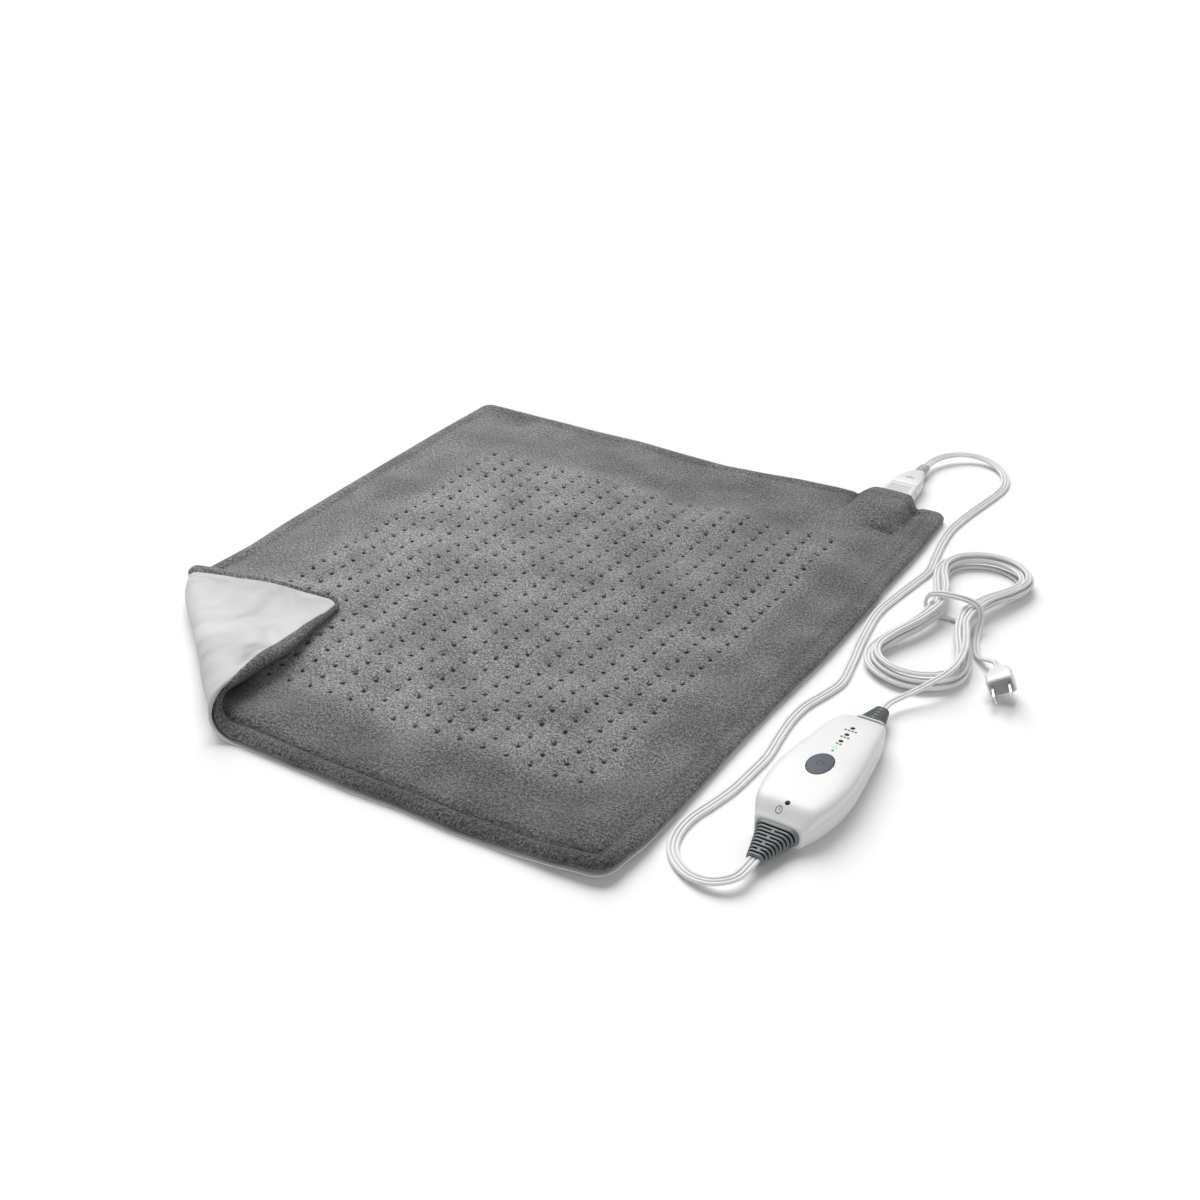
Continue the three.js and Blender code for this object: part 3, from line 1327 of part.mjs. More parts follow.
// Least gap of the wound cord to itself, between points of rings that aren't neighbours
function leastGap(rings, apart) {
  const pointsOf = (k) => {
    const ring = rings[k];
    const after = rings[Math.min(k + 1, rings.length - 1)];
    const shares = [0, 0.25, 0.5, 0.75];
    return shares.flatMap((share) => ring.flatMap((point, i) => {
      const edge = ring[(i + 1) % ring.length].clone().add(point).multiplyScalar(0.5);
      const edgeAfter = after[(i + 1) % after.length].clone().add(after[i]).multiplyScalar(0.5);
      return [point.clone().lerp(after[i], share), edge.lerp(edgeAfter, share)];
    }));
  };
  const samples = rings.map((ring, k) => pointsOf(k));
  let least = Infinity;
  for (let a = 0; a < samples.length; a += 1) {
    for (let b = a + apart; b < samples.length; b += 1) {
      if (rings[a][0].distanceTo(rings[b][0]) > hankHalfWidth / 2) continue;
      for (const p of samples[a]) for (const q of samples[b]) least = Math.min(least, p.distanceTo(q));
    }
  }
  return least;
}
console.log(`least gap of the hank to itself: ${leastGap(hankRings, 6).toFixed(2)} mm`);

// Tail of the mains cord, from the wrap to the plug
const tailBends = [
  [24.38, 137.5, 1.6], [26.76, 130.93, 1.6], [30.06, 123.83, 2], [35.26, 117.33, 4],
  [42.26, 111.83, 7.6], [49.26, 106.33, 10.8], [53.66, 99.23, 11.7], [56.41, 92.88, 11.7],
];
addMesh('mains_cord_tail', cordTube(tailBends.map(mainsPlace), mainsWidth, mainsThickness,
  tailSteps), cordMaterial);

// Mains plug: a two-step moulded body with two flat blades, lying rolled on one edge
const mainsPlug = new THREE.Group();
mainsPlug.position.copy(mainsPlace([plugFaceAcross, plugFaceAlong, plugAxisHeight]));
mainsPlug.rotation.set(0, plugRoll, plugHeading - Math.PI / 2, 'ZXY');
heatingPad.add(mainsPlug);

const plugBodyRings = [
  rectangleRing(plugRearWidth, plugRearHeight, plugRadius, -plugFrontLength - plugRearLength, 0),
  rectangleRing(plugRearWidth, plugRearHeight, plugRadius, -plugFrontLength - plugRimLip, 0),
  rectangleRing(plugBodyWidth, plugBodyHeight, plugRadius, -plugFrontLength, 0),
  rectangleRing(plugBodyWidth, plugBodyHeight, plugRadius, 0, 0),
];
let mainsPlugBody = toSolid(loft(plugBodyRings));
const bladeBlock = (side, room) => box(bladeThickness + 2 * room, bladeLength + bladeRoot + room,
  bladeWidth + 2 * room, side * bladeSpacing / 2, (bladeLength - bladeRoot - room) / 2, 0);
for (const side of [-1, 1]) {
  mainsPlugBody = mainsPlugBody.subtract(toSolid(bladeBlock(side, gap)));
}
addMesh('mains_plug_body', fromSolid(mainsPlugBody), whitePlastic, mainsPlug);
for (const side of [-1, 1]) {
  const hole = new THREE.CylinderGeometry(bladeHoleDiameter / 2, bladeHoleDiameter / 2,
    bladeThickness + overrun, lampSides)
    .rotateZ(Math.PI / 2)
    .translate(side * bladeSpacing / 2, bladeLength - bladeHoleFromTip, 0);
  addMesh(side < 0 ? 'mains_blade_left' : 'mains_blade_right',
    fromSolid(toSolid(bladeBlock(side, 0)).subtract(toSolid(hole))), nickel, mainsPlug);
}

export default heatingPad;
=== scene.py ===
import math

import bmesh
import bpy
import numpy as np
from mathutils import Matrix, Vector, noise


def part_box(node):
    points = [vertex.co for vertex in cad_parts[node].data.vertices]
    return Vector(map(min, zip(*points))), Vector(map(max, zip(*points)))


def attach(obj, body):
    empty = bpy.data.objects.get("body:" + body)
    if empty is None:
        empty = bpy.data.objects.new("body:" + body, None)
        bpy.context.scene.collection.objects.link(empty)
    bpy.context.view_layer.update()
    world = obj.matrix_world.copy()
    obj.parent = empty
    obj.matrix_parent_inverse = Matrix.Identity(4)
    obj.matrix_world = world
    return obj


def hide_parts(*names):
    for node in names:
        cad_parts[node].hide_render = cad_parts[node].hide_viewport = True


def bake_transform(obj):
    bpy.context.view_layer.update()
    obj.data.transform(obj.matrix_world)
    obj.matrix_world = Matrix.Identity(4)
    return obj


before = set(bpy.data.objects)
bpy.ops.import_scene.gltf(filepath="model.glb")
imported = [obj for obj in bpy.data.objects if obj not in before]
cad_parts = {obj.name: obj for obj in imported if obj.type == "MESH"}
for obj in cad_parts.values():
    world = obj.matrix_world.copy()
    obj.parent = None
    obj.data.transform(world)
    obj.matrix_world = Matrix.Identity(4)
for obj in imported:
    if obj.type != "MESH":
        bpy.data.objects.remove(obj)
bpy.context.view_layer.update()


# Viewpoint: the camera of the photograph, above the pad's front right corner and looking
# down over the controller to the far left corner.
viewpoint = bpy.data.objects.new("viewpoint", bpy.data.cameras.new("viewpoint"))
bpy.context.collection.objects.link(viewpoint)
viewpoint.location = (0.64331, -0.97430, 0.63694)
viewpoint.rotation_euler = [math.radians(turn) for turn in (60.812, -0.330, 30.866)]
viewpoint.data.sensor_width = 36
viewpoint.data.lens = 47.09
viewpoint.data.clip_end = 30
bpy.context.scene.camera = viewpoint
bpy.context.scene.view_settings.view_transform = "Standard"


# Pad lead: a flat three-core cord with a white vinyl jacket, two grooves along each face. It
# leaves the plug's strain relief, lies along the pad's right side and runs into the controller.
class Shade:
    """A socket of a material's nodes; sums and products of such sockets add Math nodes."""

    def __init__(self, tree, socket=None):
        self.tree, self.socket = tree, socket

    def node(self, kind, settings=None, sockets=None, out=0):
        made = self.tree.nodes.new(kind)
        for name, setting in (settings or {}).items():
            if name == "stops":
                for stop, (place, colour) in zip(made.color_ramp.elements, setting):
                    stop.position, stop.color = place, (*colour, 1)
            else:
                setattr(made, name, setting)
        for key, value in (sockets or {}).items():
            if isinstance(value, Shade):
                self.tree.links.new(value.socket, made.inputs[key])
            else:
                made.inputs[key].default_value = value
        return Shade(self.tree, made.outputs[out])

    def maths(self, operation, *values):
        return self.node("ShaderNodeMath", {"operation": operation}, dict(enumerate(values)))

    def __add__(self, other):
        return self.maths("ADD", self, other)

    def __sub__(self, other):
        return self.maths("SUBTRACT", self, other)

    def __rsub__(self, other):
        return self.maths("SUBTRACT", other, self)

    def __mul__(self, other):
        return self.maths("MULTIPLY", self, other)

    __radd__ = __add__
    __rmul__ = __mul__

    def step(self, low, high, start=0.0, end=1.0):
        """Smooth rise from start to end while this value goes from low to high."""
        return self.node(
            "ShaderNodeMapRange",
            {"interpolation_type": "SMOOTHSTEP"},
            {"Value": self, 1: low, 2: high, 3: start, 4: end},
        )


def new_finish(name, roughness, **constants):
    """A material with its surface shader; gives the material, its nodes' tree and the shader."""
    material = bpy.data.materials.new(name)
    material.use_nodes = True
    shader = material.node_tree.nodes["Principled BSDF"]
    shader.inputs["Roughness"].default_value = roughness
    for socket, value in constants.items():
        shader.inputs[socket.replace("_", " ")].default_value = value
    return material, Shade(material.node_tree), shader


def feed(shade, shader, socket):
    shade.tree.links.new(shade.socket, shader.inputs[socket])


def mottled(tree, where, dark, light, scale, detail=3.0):
    """A colour that drifts between two tones."""
    cloud = tree.node(
        "ShaderNodeTexNoise",
        {"noise_dimensions": "3D"},
        {"Vector": where, "Scale": scale, "Detail": detail},
    )
    return cloud, tree.node(
        "ShaderNodeMix",
        {"data_type": "RGBA"},
        {0: cloud.step(0.35, 0.65), 6: (*dark, 1), 7: (*light, 1)},
        out=2,
    )


def relief(tree, height, distance, strength=1.0, under=None):
    sockets = {"Height": height, "Distance": distance, "Strength": strength}
    if under is not None:
        sockets["Normal"] = under
    return tree.node("ShaderNodeBump", None, sockets)


jacket, jacket_tree, jacket_shader = new_finish("white vinyl cord jacket", 0.38)
jacket_place = jacket_tree.node("ShaderNodeTexCoord", out=3)
jacket_cloud, jacket_tone = mottled(
    jacket_tree, jacket_place, (0.79, 0.79, 0.788), (0.83, 0.83, 0.828), 45
)
# Painted shade: the jacket is painted grey along the grooves between its cores, where shade falls.
jacket_groove_shade = jacket_tree.node("ShaderNodeAttribute", {"attribute_name": "groove"}, out=2)
feed(
    jacket_tree.node("ShaderNodeMix", {"data_type": "RGBA"}, {0: jacket_groove_shade, 6: jacket_tone, 7: (0.4, 0.4, 0.4, 1)}, out=2),
    jacket_shader, "Base Color",
)
jacket_skin = jacket_tree.node(
    "ShaderNodeTexNoise", None, {"Vector": jacket_place, "Scale": 900, "Detail": 2.0}
)
feed(jacket_cloud.step(0.3, 0.7, 0.33, 0.45), jacket_shader, "Roughness")
feed(relief(jacket_tree, jacket_skin, 0.00008, 0.25), jacket_shader, "Normal")


def even_steps(line, spacing):
    """The line's points at one even spacing."""
    line = np.array(line)
    run = np.r_[0, np.cumsum(np.linalg.norm(np.diff(line, axis=0), axis=1))]
    stations = np.linspace(0, run[-1], max(2, round(run[-1] / spacing) + 1))
    return [Vector([np.interp(s, run, line[:, k]) for k in range(3)]) for s in stations]


def smooth_line(points, spacing):
    """Points along a smooth curve through the given ones."""
    knots = [Vector(point) for point in points]
    knots = [2 * knots[0] - knots[1], *knots, 2 * knots[-1] - knots[-2]]
    fine = []
    for a, b, c, d in zip(knots, knots[1:], knots[2:], knots[3:]):
        t1 = (b - a).length ** 0.5
        t2 = t1 + (c - b).length ** 0.5
        t3 = t2 + (d - c).length ** 0.5
        for k in range(10):
            t = t1 + (t2 - t1) * k / 10
            first, second = a.lerp(b, t / t1), b.lerp(c, (t - t1) / (t2 - t1))
            third = c.lerp(d, (t - t2) / (t3 - t2))
            early, late = first.lerp(second, t / t2), second.lerp(third, (t - t1) / (t3 - t1))
            fine.append(early.lerp(late, (t - t1) / (t2 - t1)))
    return even_steps([*fine, knots[-2]], spacing)


def core_section(cores, pitch, radius, web):
    """Outline of a flat cord: round cores side by side, joined by a thinner web."""
    join = math.asin(web / radius)
    centres = [(k - (cores - 1) / 2) * pitch for k in range(cores)]

    def arc(centre, start, end, count):
        turns = [start + (end - start) * k / (count - 1) for k in range(count)]
        return [(centre + radius * math.cos(t), radius * math.sin(t)) for t in turns]

    ring = arc(centres[-1], join - math.pi, math.pi - join, 11)
    for centre in centres[-2:0:-1]:
        ring += arc(centre, join, math.pi - join, 5)
    ring += arc(centres[0], join, 2 * math.pi - join, 11)
    for centre in centres[1:-1]:
        ring += arc(centre, math.pi + join, 2 * math.pi - join, 5)
    return ring


def cord_sides(line, wound=(0.0, 0.0)):
    """Directions across the cord: level, but carried along and slowly turned back level in the
    stretch of the line that goes round a bundle."""
    up = Vector((0, 0, 1))
    count = len(line)
    start, end = (int(share * (count - 1)) for share in wound)
    sides, side = [], None
    tangents = [
        (line[min(i + 1, count - 1)] - line[max(i - 1, 0)]).normalized() for i in range(count)
    ]
    for i, tangent in enumerate(tangents):
        if side is None or i < start or start == end:
            side = tangent.cross(up)
        side = (side - tangent * side.dot(tangent)).normalized()
        sides.append(side)
    if start == end:
        return tangents, sides
    level = tangents[end].cross(up).normalized()
    turn = math.atan2(level.cross(sides[end]).dot(tangents[end]), level.dot(sides[end]))
    turn = (turn + math.pi / 2) % math.pi - math.pi / 2
    for i in range(start, count):
        share = min(1.0, (i - start) / (end - start))
        share = share * share * (3 - 2 * share)
        sides[i] = Matrix.Rotation(-turn * share, 3, tangents[i]) @ sides[i]
    return tangents, sides


def mesh_piece(name, bm, material, smooth=True, sharp_from=None):
    """Finishes a bmesh as a named piece with one material."""
    mesh = bpy.data.meshes.new(name)
    bm.to_mesh(mesh)
    bm.free()
    mesh.materials.append(material)
    if smooth:
        mesh.shade_smooth()
    if sharp_from:
        mesh.set_sharp_from_angle(angle=math.radians(sharp_from))
    piece = bpy.data.objects.new(name, mesh)
    bpy.context.collection.objects.link(piece)
    return piece


def skin(bm, rings):
    """Adds a closed skin: its first ring is extruded to the places of each next one."""
    number = bm.verts.layers.int.get("number") or bm.verts.layers.int.new("number")
    ring = bmesh.ops.create_circle(bm, cap_ends=False, radius=1, segments=len(rings[0]))["verts"]
    edges = list({edge for vertex in ring for edge in vertex.link_edges})
    caps = [edges]
    for k, vertex in enumerate(ring):
        vertex[number] = k
    for i, places in enumerate(rings):
        if i:
            edges = bmesh.ops.extrude_edge_only(bm, edges=edges)["geom"]
            ring = [part for part in edges if isinstance(part, bmesh.types.BMVert)]
            edges = [part for part in edges if isinstance(part, bmesh.types.BMEdge)]
        for vertex in ring:
            vertex.co = places[vertex[number]]
    caps.append(edges)
    for cap in caps:
        bmesh.ops.contextual_create(bm, geom=cap)
    bmesh.ops.recalc_face_normals(bm, faces=bm.faces[:])


def lay_cord(name, line, section, wound=(0.0, 0.0)):
    """A flat cord: its outline is carried along the line."""
    rings = []
    for centre, tangent, side in zip(line, *cord_sides(line, wound)):
        lift = tangent.cross(side)
        rings.append([centre + side * across + lift * up for across, up in section])
    bm = bmesh.new()
    skin(bm, rings)
    cord = mesh_piece(name, bm, jacket, sharp_from=50)
    # Painted shade: points between two cores get a groove value, largest at the web, that the jacket paints grey.
    thickest, reach = (max(place[k] for place in section) for k in (1, 0))
    depth = [
        max(0.0, 1 - abs(up) / thickest) ** 1.6 if abs(across) < reach - thickest else 0.0
        for across, up in section
    ]
    number = [vertex.value for vertex in cord.data.attributes["number"].data]
    groove = cord.data.attributes.new("groove", "FLOAT", "POINT")
    groove.data.foreach_set("value", [depth[k] for k in number])
    return cord


def millimetres(points):
    return [tuple(value / 1000 for value in point) for point in points]


pad_lead_route = millimetres([
    (202.5, 386.05, 7.6), (202.5, 393.5, 7.6), (204.5, 407, 7.8), (211, 422, 8),
    (221.5, 433.5, 7.6), (235, 439.5, 6.6), (249, 438, 5.2), (263, 429.5, 3.6),
    (273.5, 415, 2.2), (278.5, 398, 1.6), (279, 383, 1.6), (275, 352, 1.6), (270, 318, 1.6),
    (267, 284, 1.6), (269, 252, 1.6), (274, 220, 1.6), (278, 193, 1.6), (275, 168, 1.6),
    (271, 138, 1.6), (268, 105, 1.6), (274, 55, 1.6), (281, 18, 1.6), (285, -12, 1.6),
    (281, -33, 1.6), (275.5, -54, 1.6), (274, -76, 1.6), (276, -102, 1.6), (279, -129, 1.6),
    (278, -153, 1.6), (276, -178, 1.6), (271.5, -200, 1.6), (267, -220, 1.6),
    (267.5, -240, 1.6), (273, -256, 1.8), (284, -268, 2.4), (297, -275, 3.6), (312, -275.5, 6),
    (323, -267.5, 8.2), (325.53, -254.67, 9), (325.75, -245.67, 9),
])
pad_lead_line = smooth_line(pad_lead_route, 0.0024)
pad_lead = lay_cord("pad_lead", pad_lead_line, core_section(3, 0.0028, 0.0014, 0.0004))
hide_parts("pad_lead_cord")
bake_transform(pad_lead)


# Mains cord: a flat two-core cord of the same vinyl. It leaves the controller's upper end, lies
# in a waisted hank of five loops, wraps once round the waist and runs to the plug.
hank_middle = Vector((0.326, 0.121, 0))
hank_half_length, hank_half_width, hank_waist_share = 0.113, 0.0642, 0.7586
hank_turns, hank_steps_per_turn, hank_pitch = 5, 24, 0.0074
hank_layer_step, hank_lift, hank_floor = 0.0035, 0.0046, 0.0016
hank_layer_ends = (1, 2.5, 4)


def eased(value, low, high):
    share = min(1.0, max(0.0, (value - low) / (high - low)))
    return share * share * (3 - 2 * share)


def hank_outline(angle):
    across = math.cos(angle)
    return Vector((
        hank_half_width * across * (1 - hank_waist_share * across**4),
        hank_half_length * math.sin(angle),
        0,
    ))


def hank_place(turn):
    """One point of the wound cord: it spirals in and out, one layer lower each time it turns back."""
    angle, small = turn * 2 * math.pi, math.pi / 180
    along = (hank_outline(angle + small) - hank_outline(angle - small)).normalized()
    first, second, third = hank_layer_ends
    if turn <= first:
        inset = turn
    elif turn <= second:
        inset = 2 * first - turn
    elif turn <= third:
        inset = 2 * first - 2 * second + turn
    else:
        inset = 2 * first - 2 * second + 2 * third - turn
    layer = 3 - sum(eased(turn, end - 0.25, end + 0.25) for end in hank_layer_ends)
    lift = math.cos(angle) ** 8 * (1 - eased(turn, hank_turns - 0.25, hank_turns - 0.1))
    place = hank_middle + hank_outline(angle)
    place += Vector((-along.y, along.x, 0)) * inset * hank_pitch
    place.z = hank_floor + layer * hank_layer_step + hank_lift * lift
    return place


mains_start = millimetres([
    (330.71, -42.83, 9), (331.01, -31, 9), (334.77, -20.5, 9.2), (342.5, -8, 11.4),
    (350.5, 4, 15.4), (356, 17, 17.2), (358.6, 36, 17.6), (355.6, 62, 17.6), (348, 86, 17.2),
    (342.6, 101, 16.8), (341.5, 108, 16.7),
])
mains_loops = [
    hank_place(i / hank_steps_per_turn) for i in range(hank_turns * hank_steps_per_turn)
]
mains_wrap = [hank_middle + Vector(point) for point in millimetres([
    (16.5, -12, 1.6), (14.2, -3.5, 1.6), (8, 2.7, 1.6), (-0.5, 5, 1.6), (-10, 5, 1.6),
    (-18, 5, 1.9), (-24, 5.3, 4.8), (-26, 5.8, 11), (-23.6, 6.2, 17.2), (-16, 6.6, 20.7),
    (-3, 6.8, 22), (10, 6, 21.9), (18.8, 4, 19.4), (22.4, 0.5, 13.4), (23.2, -4, 7),
    (24.6, -11, 2.6), (26.5, -19, 1.6), (29, -26, 1.6),
])]
mains_end = millimetres([
    (357.5, 88.1, 1.6), (360.8, 81, 2), (366, 74.5, 4), (373, 69, 7.6), (380, 63.5, 10.8),
    (384.4, 56.4, 11.7), (387.15, 50.05, 11.7),
])


def line_length(points):
    points = np.array([tuple(point) for point in points])
    return float(np.linalg.norm(np.diff(points, axis=0), axis=1).sum())


mains_route = [*mains_start, *mains_loops, *mains_wrap, *mains_end]
mains_line = smooth_line(mains_route, 0.0026)
before_wrap = line_length(smooth_line([*mains_start, *mains_loops, mains_wrap[0]], 0.0026))
mains_length = line_length(mains_line)
after_wrap = line_length(smooth_line([mains_wrap[-1], *mains_end], 0.0026))
mains_cord = lay_cord(
    "mains_cord", mains_line, core_section(2, 0.0028, 0.0014, 0.0004),
    wound=(before_wrap / mains_length, 1 - after_wrap / mains_length),
)
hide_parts("mains_cord_lead", "mains_cord_hank", "mains_cord_tail")
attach(mains_cord, "root")
print("cord lengths", round(line_length(pad_lead_line), 4), round(mains_length, 4))


# Plush cover of the pad: a soft grey knitted pile over the heater, tufted down in a block of 19
# by 30 stitches. Its front left corner is turned over and lies back on the pad.
pad_width, pad_length, pad_corner = 0.508, 0.610, 0.012
stitch_left, stitch_front = -0.168, -0.229
stitch_across, stitch_along = 0.0197, 0.0144
fold_corner = np.array((-0.254, -0.305))
fold_start, fold_end = np.array((-0.254, -0.143)), np.array((-0.054, -0.305))
fold_length = float(np.linalg.norm(fold_end - fold_start))
fold_run = (fold_end - fold_start) / fold_length
fold_away = np.array((fold_run[1], -fold_run[0]))
socket_x = 0.2025


def rise(value, low, high):
    share = np.clip((value - low) / (high - low), 0, 1)
    return share * share * (3 - 2 * share)


def soft_noise(x, y, size, seed):
    return np.array([
        noise.noise((a / size, b / size, seed)) for a, b in zip(x.tolist(), y.tolist())
    ])


def rounded(x, y):
    """Moves a rectangle's corner points onto the pad's rounded corners."""
    u = np.clip((np.abs(x) - pad_width / 2 + pad_corner) / pad_corner, 0, 1)
    v = np.clip((np.abs(y) - pad_length / 2 + pad_corner) / pad_corner, 0, 1)
    both = (u > 0) & (v > 0)
    new_x = np.sign(x) * (pad_width / 2 - pad_corner + pad_corner * u * np.sqrt(1 - v * v / 2))
    new_y = np.sign(y) * (pad_length / 2 - pad_corner + pad_corner * v * np.sqrt(1 - u * u / 2))
    return np.where(both, new_x, x), np.where(both, new_y, y)


def edge_distance(x, y):
    """How far a point of the flat pad lies inside its outline."""
    u = np.abs(x) - pad_width / 2 + pad_corner
    v = np.abs(y) - pad_length / 2 + pad_corner
    outside = np.hypot(np.maximum(u, 0), np.maximum(v, 0))
    return pad_corner - np.where((u > 0) | (v > 0), outside, np.maximum(u, v))


# Where each side of the pad lies, from its straight line, as it settles on the table
front_wander = (
    [-0.254, -0.225, -0.16, -0.1, -0.05, -0.03, 0.054, 0.094, 0.138, 0.215, 0.254],
    [-0.0035, -0.008, -0.0115, -0.009, -0.0055, -0.006, -0.0085, -0.007, -0.009, -0.0075, -0.004],
)
left_wander = ([-0.305, -0.235, -0.195, -0.165, -0.14, -0.08, -0.03, 0.04, 0.1, 0.2],
               [0.001, -0.001, -0.003, 0.002, 0.007, 0.009, 0.0055, 0.0035, 0.002, 0])
right_wander = (
    [-0.305, -0.28, -0.262, -0.142, -0.074, -0.026, 0.027, 0.082, 0.112, 0.142, 0.206, 0.239, 0.305],
    [0, 0.0023, 0.0041, 0.0035, 0.0038, 0.0061, 0.0082, 0.0077, 0.0074, 0.0055, 0.0059, 0.0051, 0.002],
)
back_wander = ([-0.254, -0.111, -0.066, -0.011, 0.035, 0.075, 0.11, 0.148, 0.23, 0.254],
               [-0.004, -0.0075, -0.007, -0.0115, -0.0145, -0.0105, -0.005, -0.003, -0.005, -0.004])


def settled(x, y):
    """The pad's outline and the cloth near it, shifted as the sides wander."""
    front = np.interp(x, *front_wander) * (1 - rise(y, -0.305, -0.18))
    back = np.interp(x, *back_wander) * rise(y, 0.2, 0.305)
    right = np.interp(y, *right_wander) * rise(x, 0.12, 0.254)
    left = np.interp(y, *left_wander) * (1 - rise(x, -0.254, -0.19))
    return x + right + left, y + front + back


def from_fold(x, y):
    """How far along the fold line and how far beyond it; its back end bows in a little."""
    along = (x - fold_start[0]) * fold_run[0] + (y - fold_start[1]) * fold_run[1]
    bow = 0.0075 * (1 - rise(along, -0.01, 0.07))
    out = (x - fold_start[0]) * fold_away[0] + (y - fold_start[1]) * fold_away[1]
    return along, out + bow, bow


def turned_over(x, y, start=0.0, end=0.02):
    """One on the corner that is turned over, nothing short of the fold line."""
    return rise(from_fold(x, y)[1], start, end)


def flap_hem(x):
    """Width of the plush hem that shows in front of the lining on the turned-over corner."""
    return 0.002 + 0.008 * rise(x, -0.25, -0.16)


def flap_rim(y):
    """The same along the corner's other side."""
    return 0.0062 + 0.004 * rise(y, -0.24, -0.165)


def fold_over(x, y, z, middle, droop):
    """Turns the corner beyond the fold line up round a widening roll and lays it back."""
    along, out, bow = from_fold(x, y)
    radius = 0.0052 + 0.0072 * np.clip(along / fold_length, 0, 1) ** 2
    arc = np.pi * radius
    turn = np.clip(out / radius, 0, np.pi)
    shell = radius - (z - middle)
    past = np.maximum(out - arc, 0)
    reach = shell * np.sin(turn) - past * 1.02 - bow
    lie = middle + radius - shell * np.cos(turn)
    height = np.where(out > 0, lie - droop(past, along), z)
    new_x = fold_start[0] + fold_run[0] * along + fold_away[0] * reach
    new_y = fold_start[1] + fold_run[1] * along + fold_away[1] * reach
    return np.where(out > 0, new_x, x), np.where(out > 0, new_y, y), height


def flap_droop(past, along):
    """The flap sinks from its roll until its tip rests on the pad."""
    return 0.0062 * rise(past, 0.0, 0.105) + 0.0014 * np.sin(along * 40 + past * 34) * rise(past, 0, 0.05)


def tuft_depth(x, y):
    """Depth of the dimple that the nearest stitch pulls into the pile."""
    line = np.clip(np.round((x - stitch_left) / stitch_across), 0, 18)
    row = np.clip(np.round((y - stitch_front) / stitch_along), 0, 29)
    away_x = x - stitch_left - line * stitch_across
    away_y = y - stitch_front - row * stitch_along
    return np.exp(-(away_x**2 + away_y**2) / 0.003**2)


def socket_bulge(x, y):
    """Rise of the cloth over the socket that is sewn in at the back edge."""
    side = (1 - rise(x - socket_x, 0.0155, 0.0235)) * (1 - rise(socket_x - x, 0.0165, 0.038))
    return side * rise(y, 0.234, 0.271)


def cloth_slab(name, segments, thickness_marks):
    """A closed sheet of quads whose heights, nought and one, mark bottom and top; thickness_marks is not used."""
    bm = bmesh.new()
    bmesh.ops.create_grid(bm, x_segments=segments[0], y_segments=segments[1], size=0.5)
    bmesh.ops.scale(bm, vec=(pad_width, pad_length, 1), verts=bm.verts[:])
    made = bmesh.ops.extrude_face_region(bm, geom=bm.faces[:])["geom"]
    upper = [part for part in made if isinstance(part, bmesh.types.BMVert)]
    bmesh.ops.translate(bm, vec=(0, 0, 1), verts=upper)
    bmesh.ops.recalc_face_normals(bm, faces=bm.faces[:])
    return bm


def cloth_points(piece):
    points = np.empty(len(piece.data.vertices) * 3)
    piece.data.vertices.foreach_get("co", points)
    return points.reshape(-1, 3).T.copy()


def set_cloth(piece, x, y, z):
    piece.data.vertices.foreach_set("co", np.c_[x, y, z].ravel())
    piece.data.update()


def keep_flat_place(piece, x, y):
    """Stores where each point lies on the flat cloth, so that patterns follow the cloth."""
    layer = piece.data.uv_layers.new(name="cloth")
    corner = np.empty(len(piece.data.loops), dtype=np.int64)
    piece.data.loops.foreach_get("vertex_index", corner)
    layer.data.foreach_set("uv", np.c_[x[corner], y[corner]].ravel())


plush, plush_tree, plush_shader = new_finish(
    "grey plush pile", 0.95, Sheen_Weight=0.25, Sheen_Roughness=0.5, Specular_IOR_Level=0.1
)
plush_place = plush_tree.node("ShaderNodeUVMap", {"uv_map": "cloth"})
plush_across, plush_along = (
    plush_tree.node("ShaderNodeSeparateXYZ", None, {"Vector": plush_place}, out=k) for k in (0, 1)
)
nap, nap_tone = mottled(plush_tree, plush_place, (0.182, 0.182, 0.183), (0.25, 0.25, 0.251), 19, 5.0)
strands = plush_tree.node(
    "ShaderNodeTexNoise", None, {"Vector": plush_place, "Scale": 640, "Detail": 2.0, "Roughness": 0.8}
)
clumps = plush_tree.node(
    "ShaderNodeTexNoise", None, {"Vector": plush_place, "Scale": 290, "Detail": 2.0, "Roughness": 0.6}
)
line_way = (plush_across - stitch_left) * (1 / stitch_across) + 0.5
row_way = (plush_along - stitch_front) * (1 / stitch_along) + 0.5
line_off = (line_way.maths("FRACT", line_way) - 0.5) * stitch_across
row_off = (row_way.maths("FRACT", row_way) - 0.5) * stitch_along
stitch_far = line_off.maths("SQRT", line_off * line_off + row_off * row_off)
in_zone = (
    line_way.step(-0.01, 0.0) * (1 - line_way.step(19.0, 19.01))
    * row_way.step(-0.01, 0.0) * (1 - row_way.step(30.0, 30.01))
)
# Painted shade: the dimples that the stitches pull into the pile are painted dark, where shade falls in them.
frayed = stitch_far + clumps * 0.0016 - 0.0008
pit = (1 - frayed.step(0.0007, 0.0023)) * in_zone
# Painted shade, stored on the plush's points: in the groove behind the hem, on the hem band and in the creases by
# the socket.
hem_shade = plush_tree.node("ShaderNodeAttribute", {"attribute_name": "hem_shade"}, out=2)
# Painted sheen and shade: the pile is painted darker toward the front edge and toward the right, lighter toward
# the left, and about a third lighter over the stitched middle, as light falls across it.
painted_sheen = plush_along.step(-0.292, -0.215, 0.68, 1.0) * plush_across.step(-0.25, 0.25, 1.2, 0.82)
stitched = (
    plush_across.step(-0.19, -0.165) * (1 - plush_across.step(0.185, 0.21))
    * plush_along.step(-0.25, -0.225) * (1 - plush_along.step(0.185, 0.21))
)
painted_sheen *= stitched * 0.34 + 1
speckle = strands.step(0.36, 0.64, 0.36, 1.64) * clumps.step(0.33, 0.67, 0.8, 1.2)
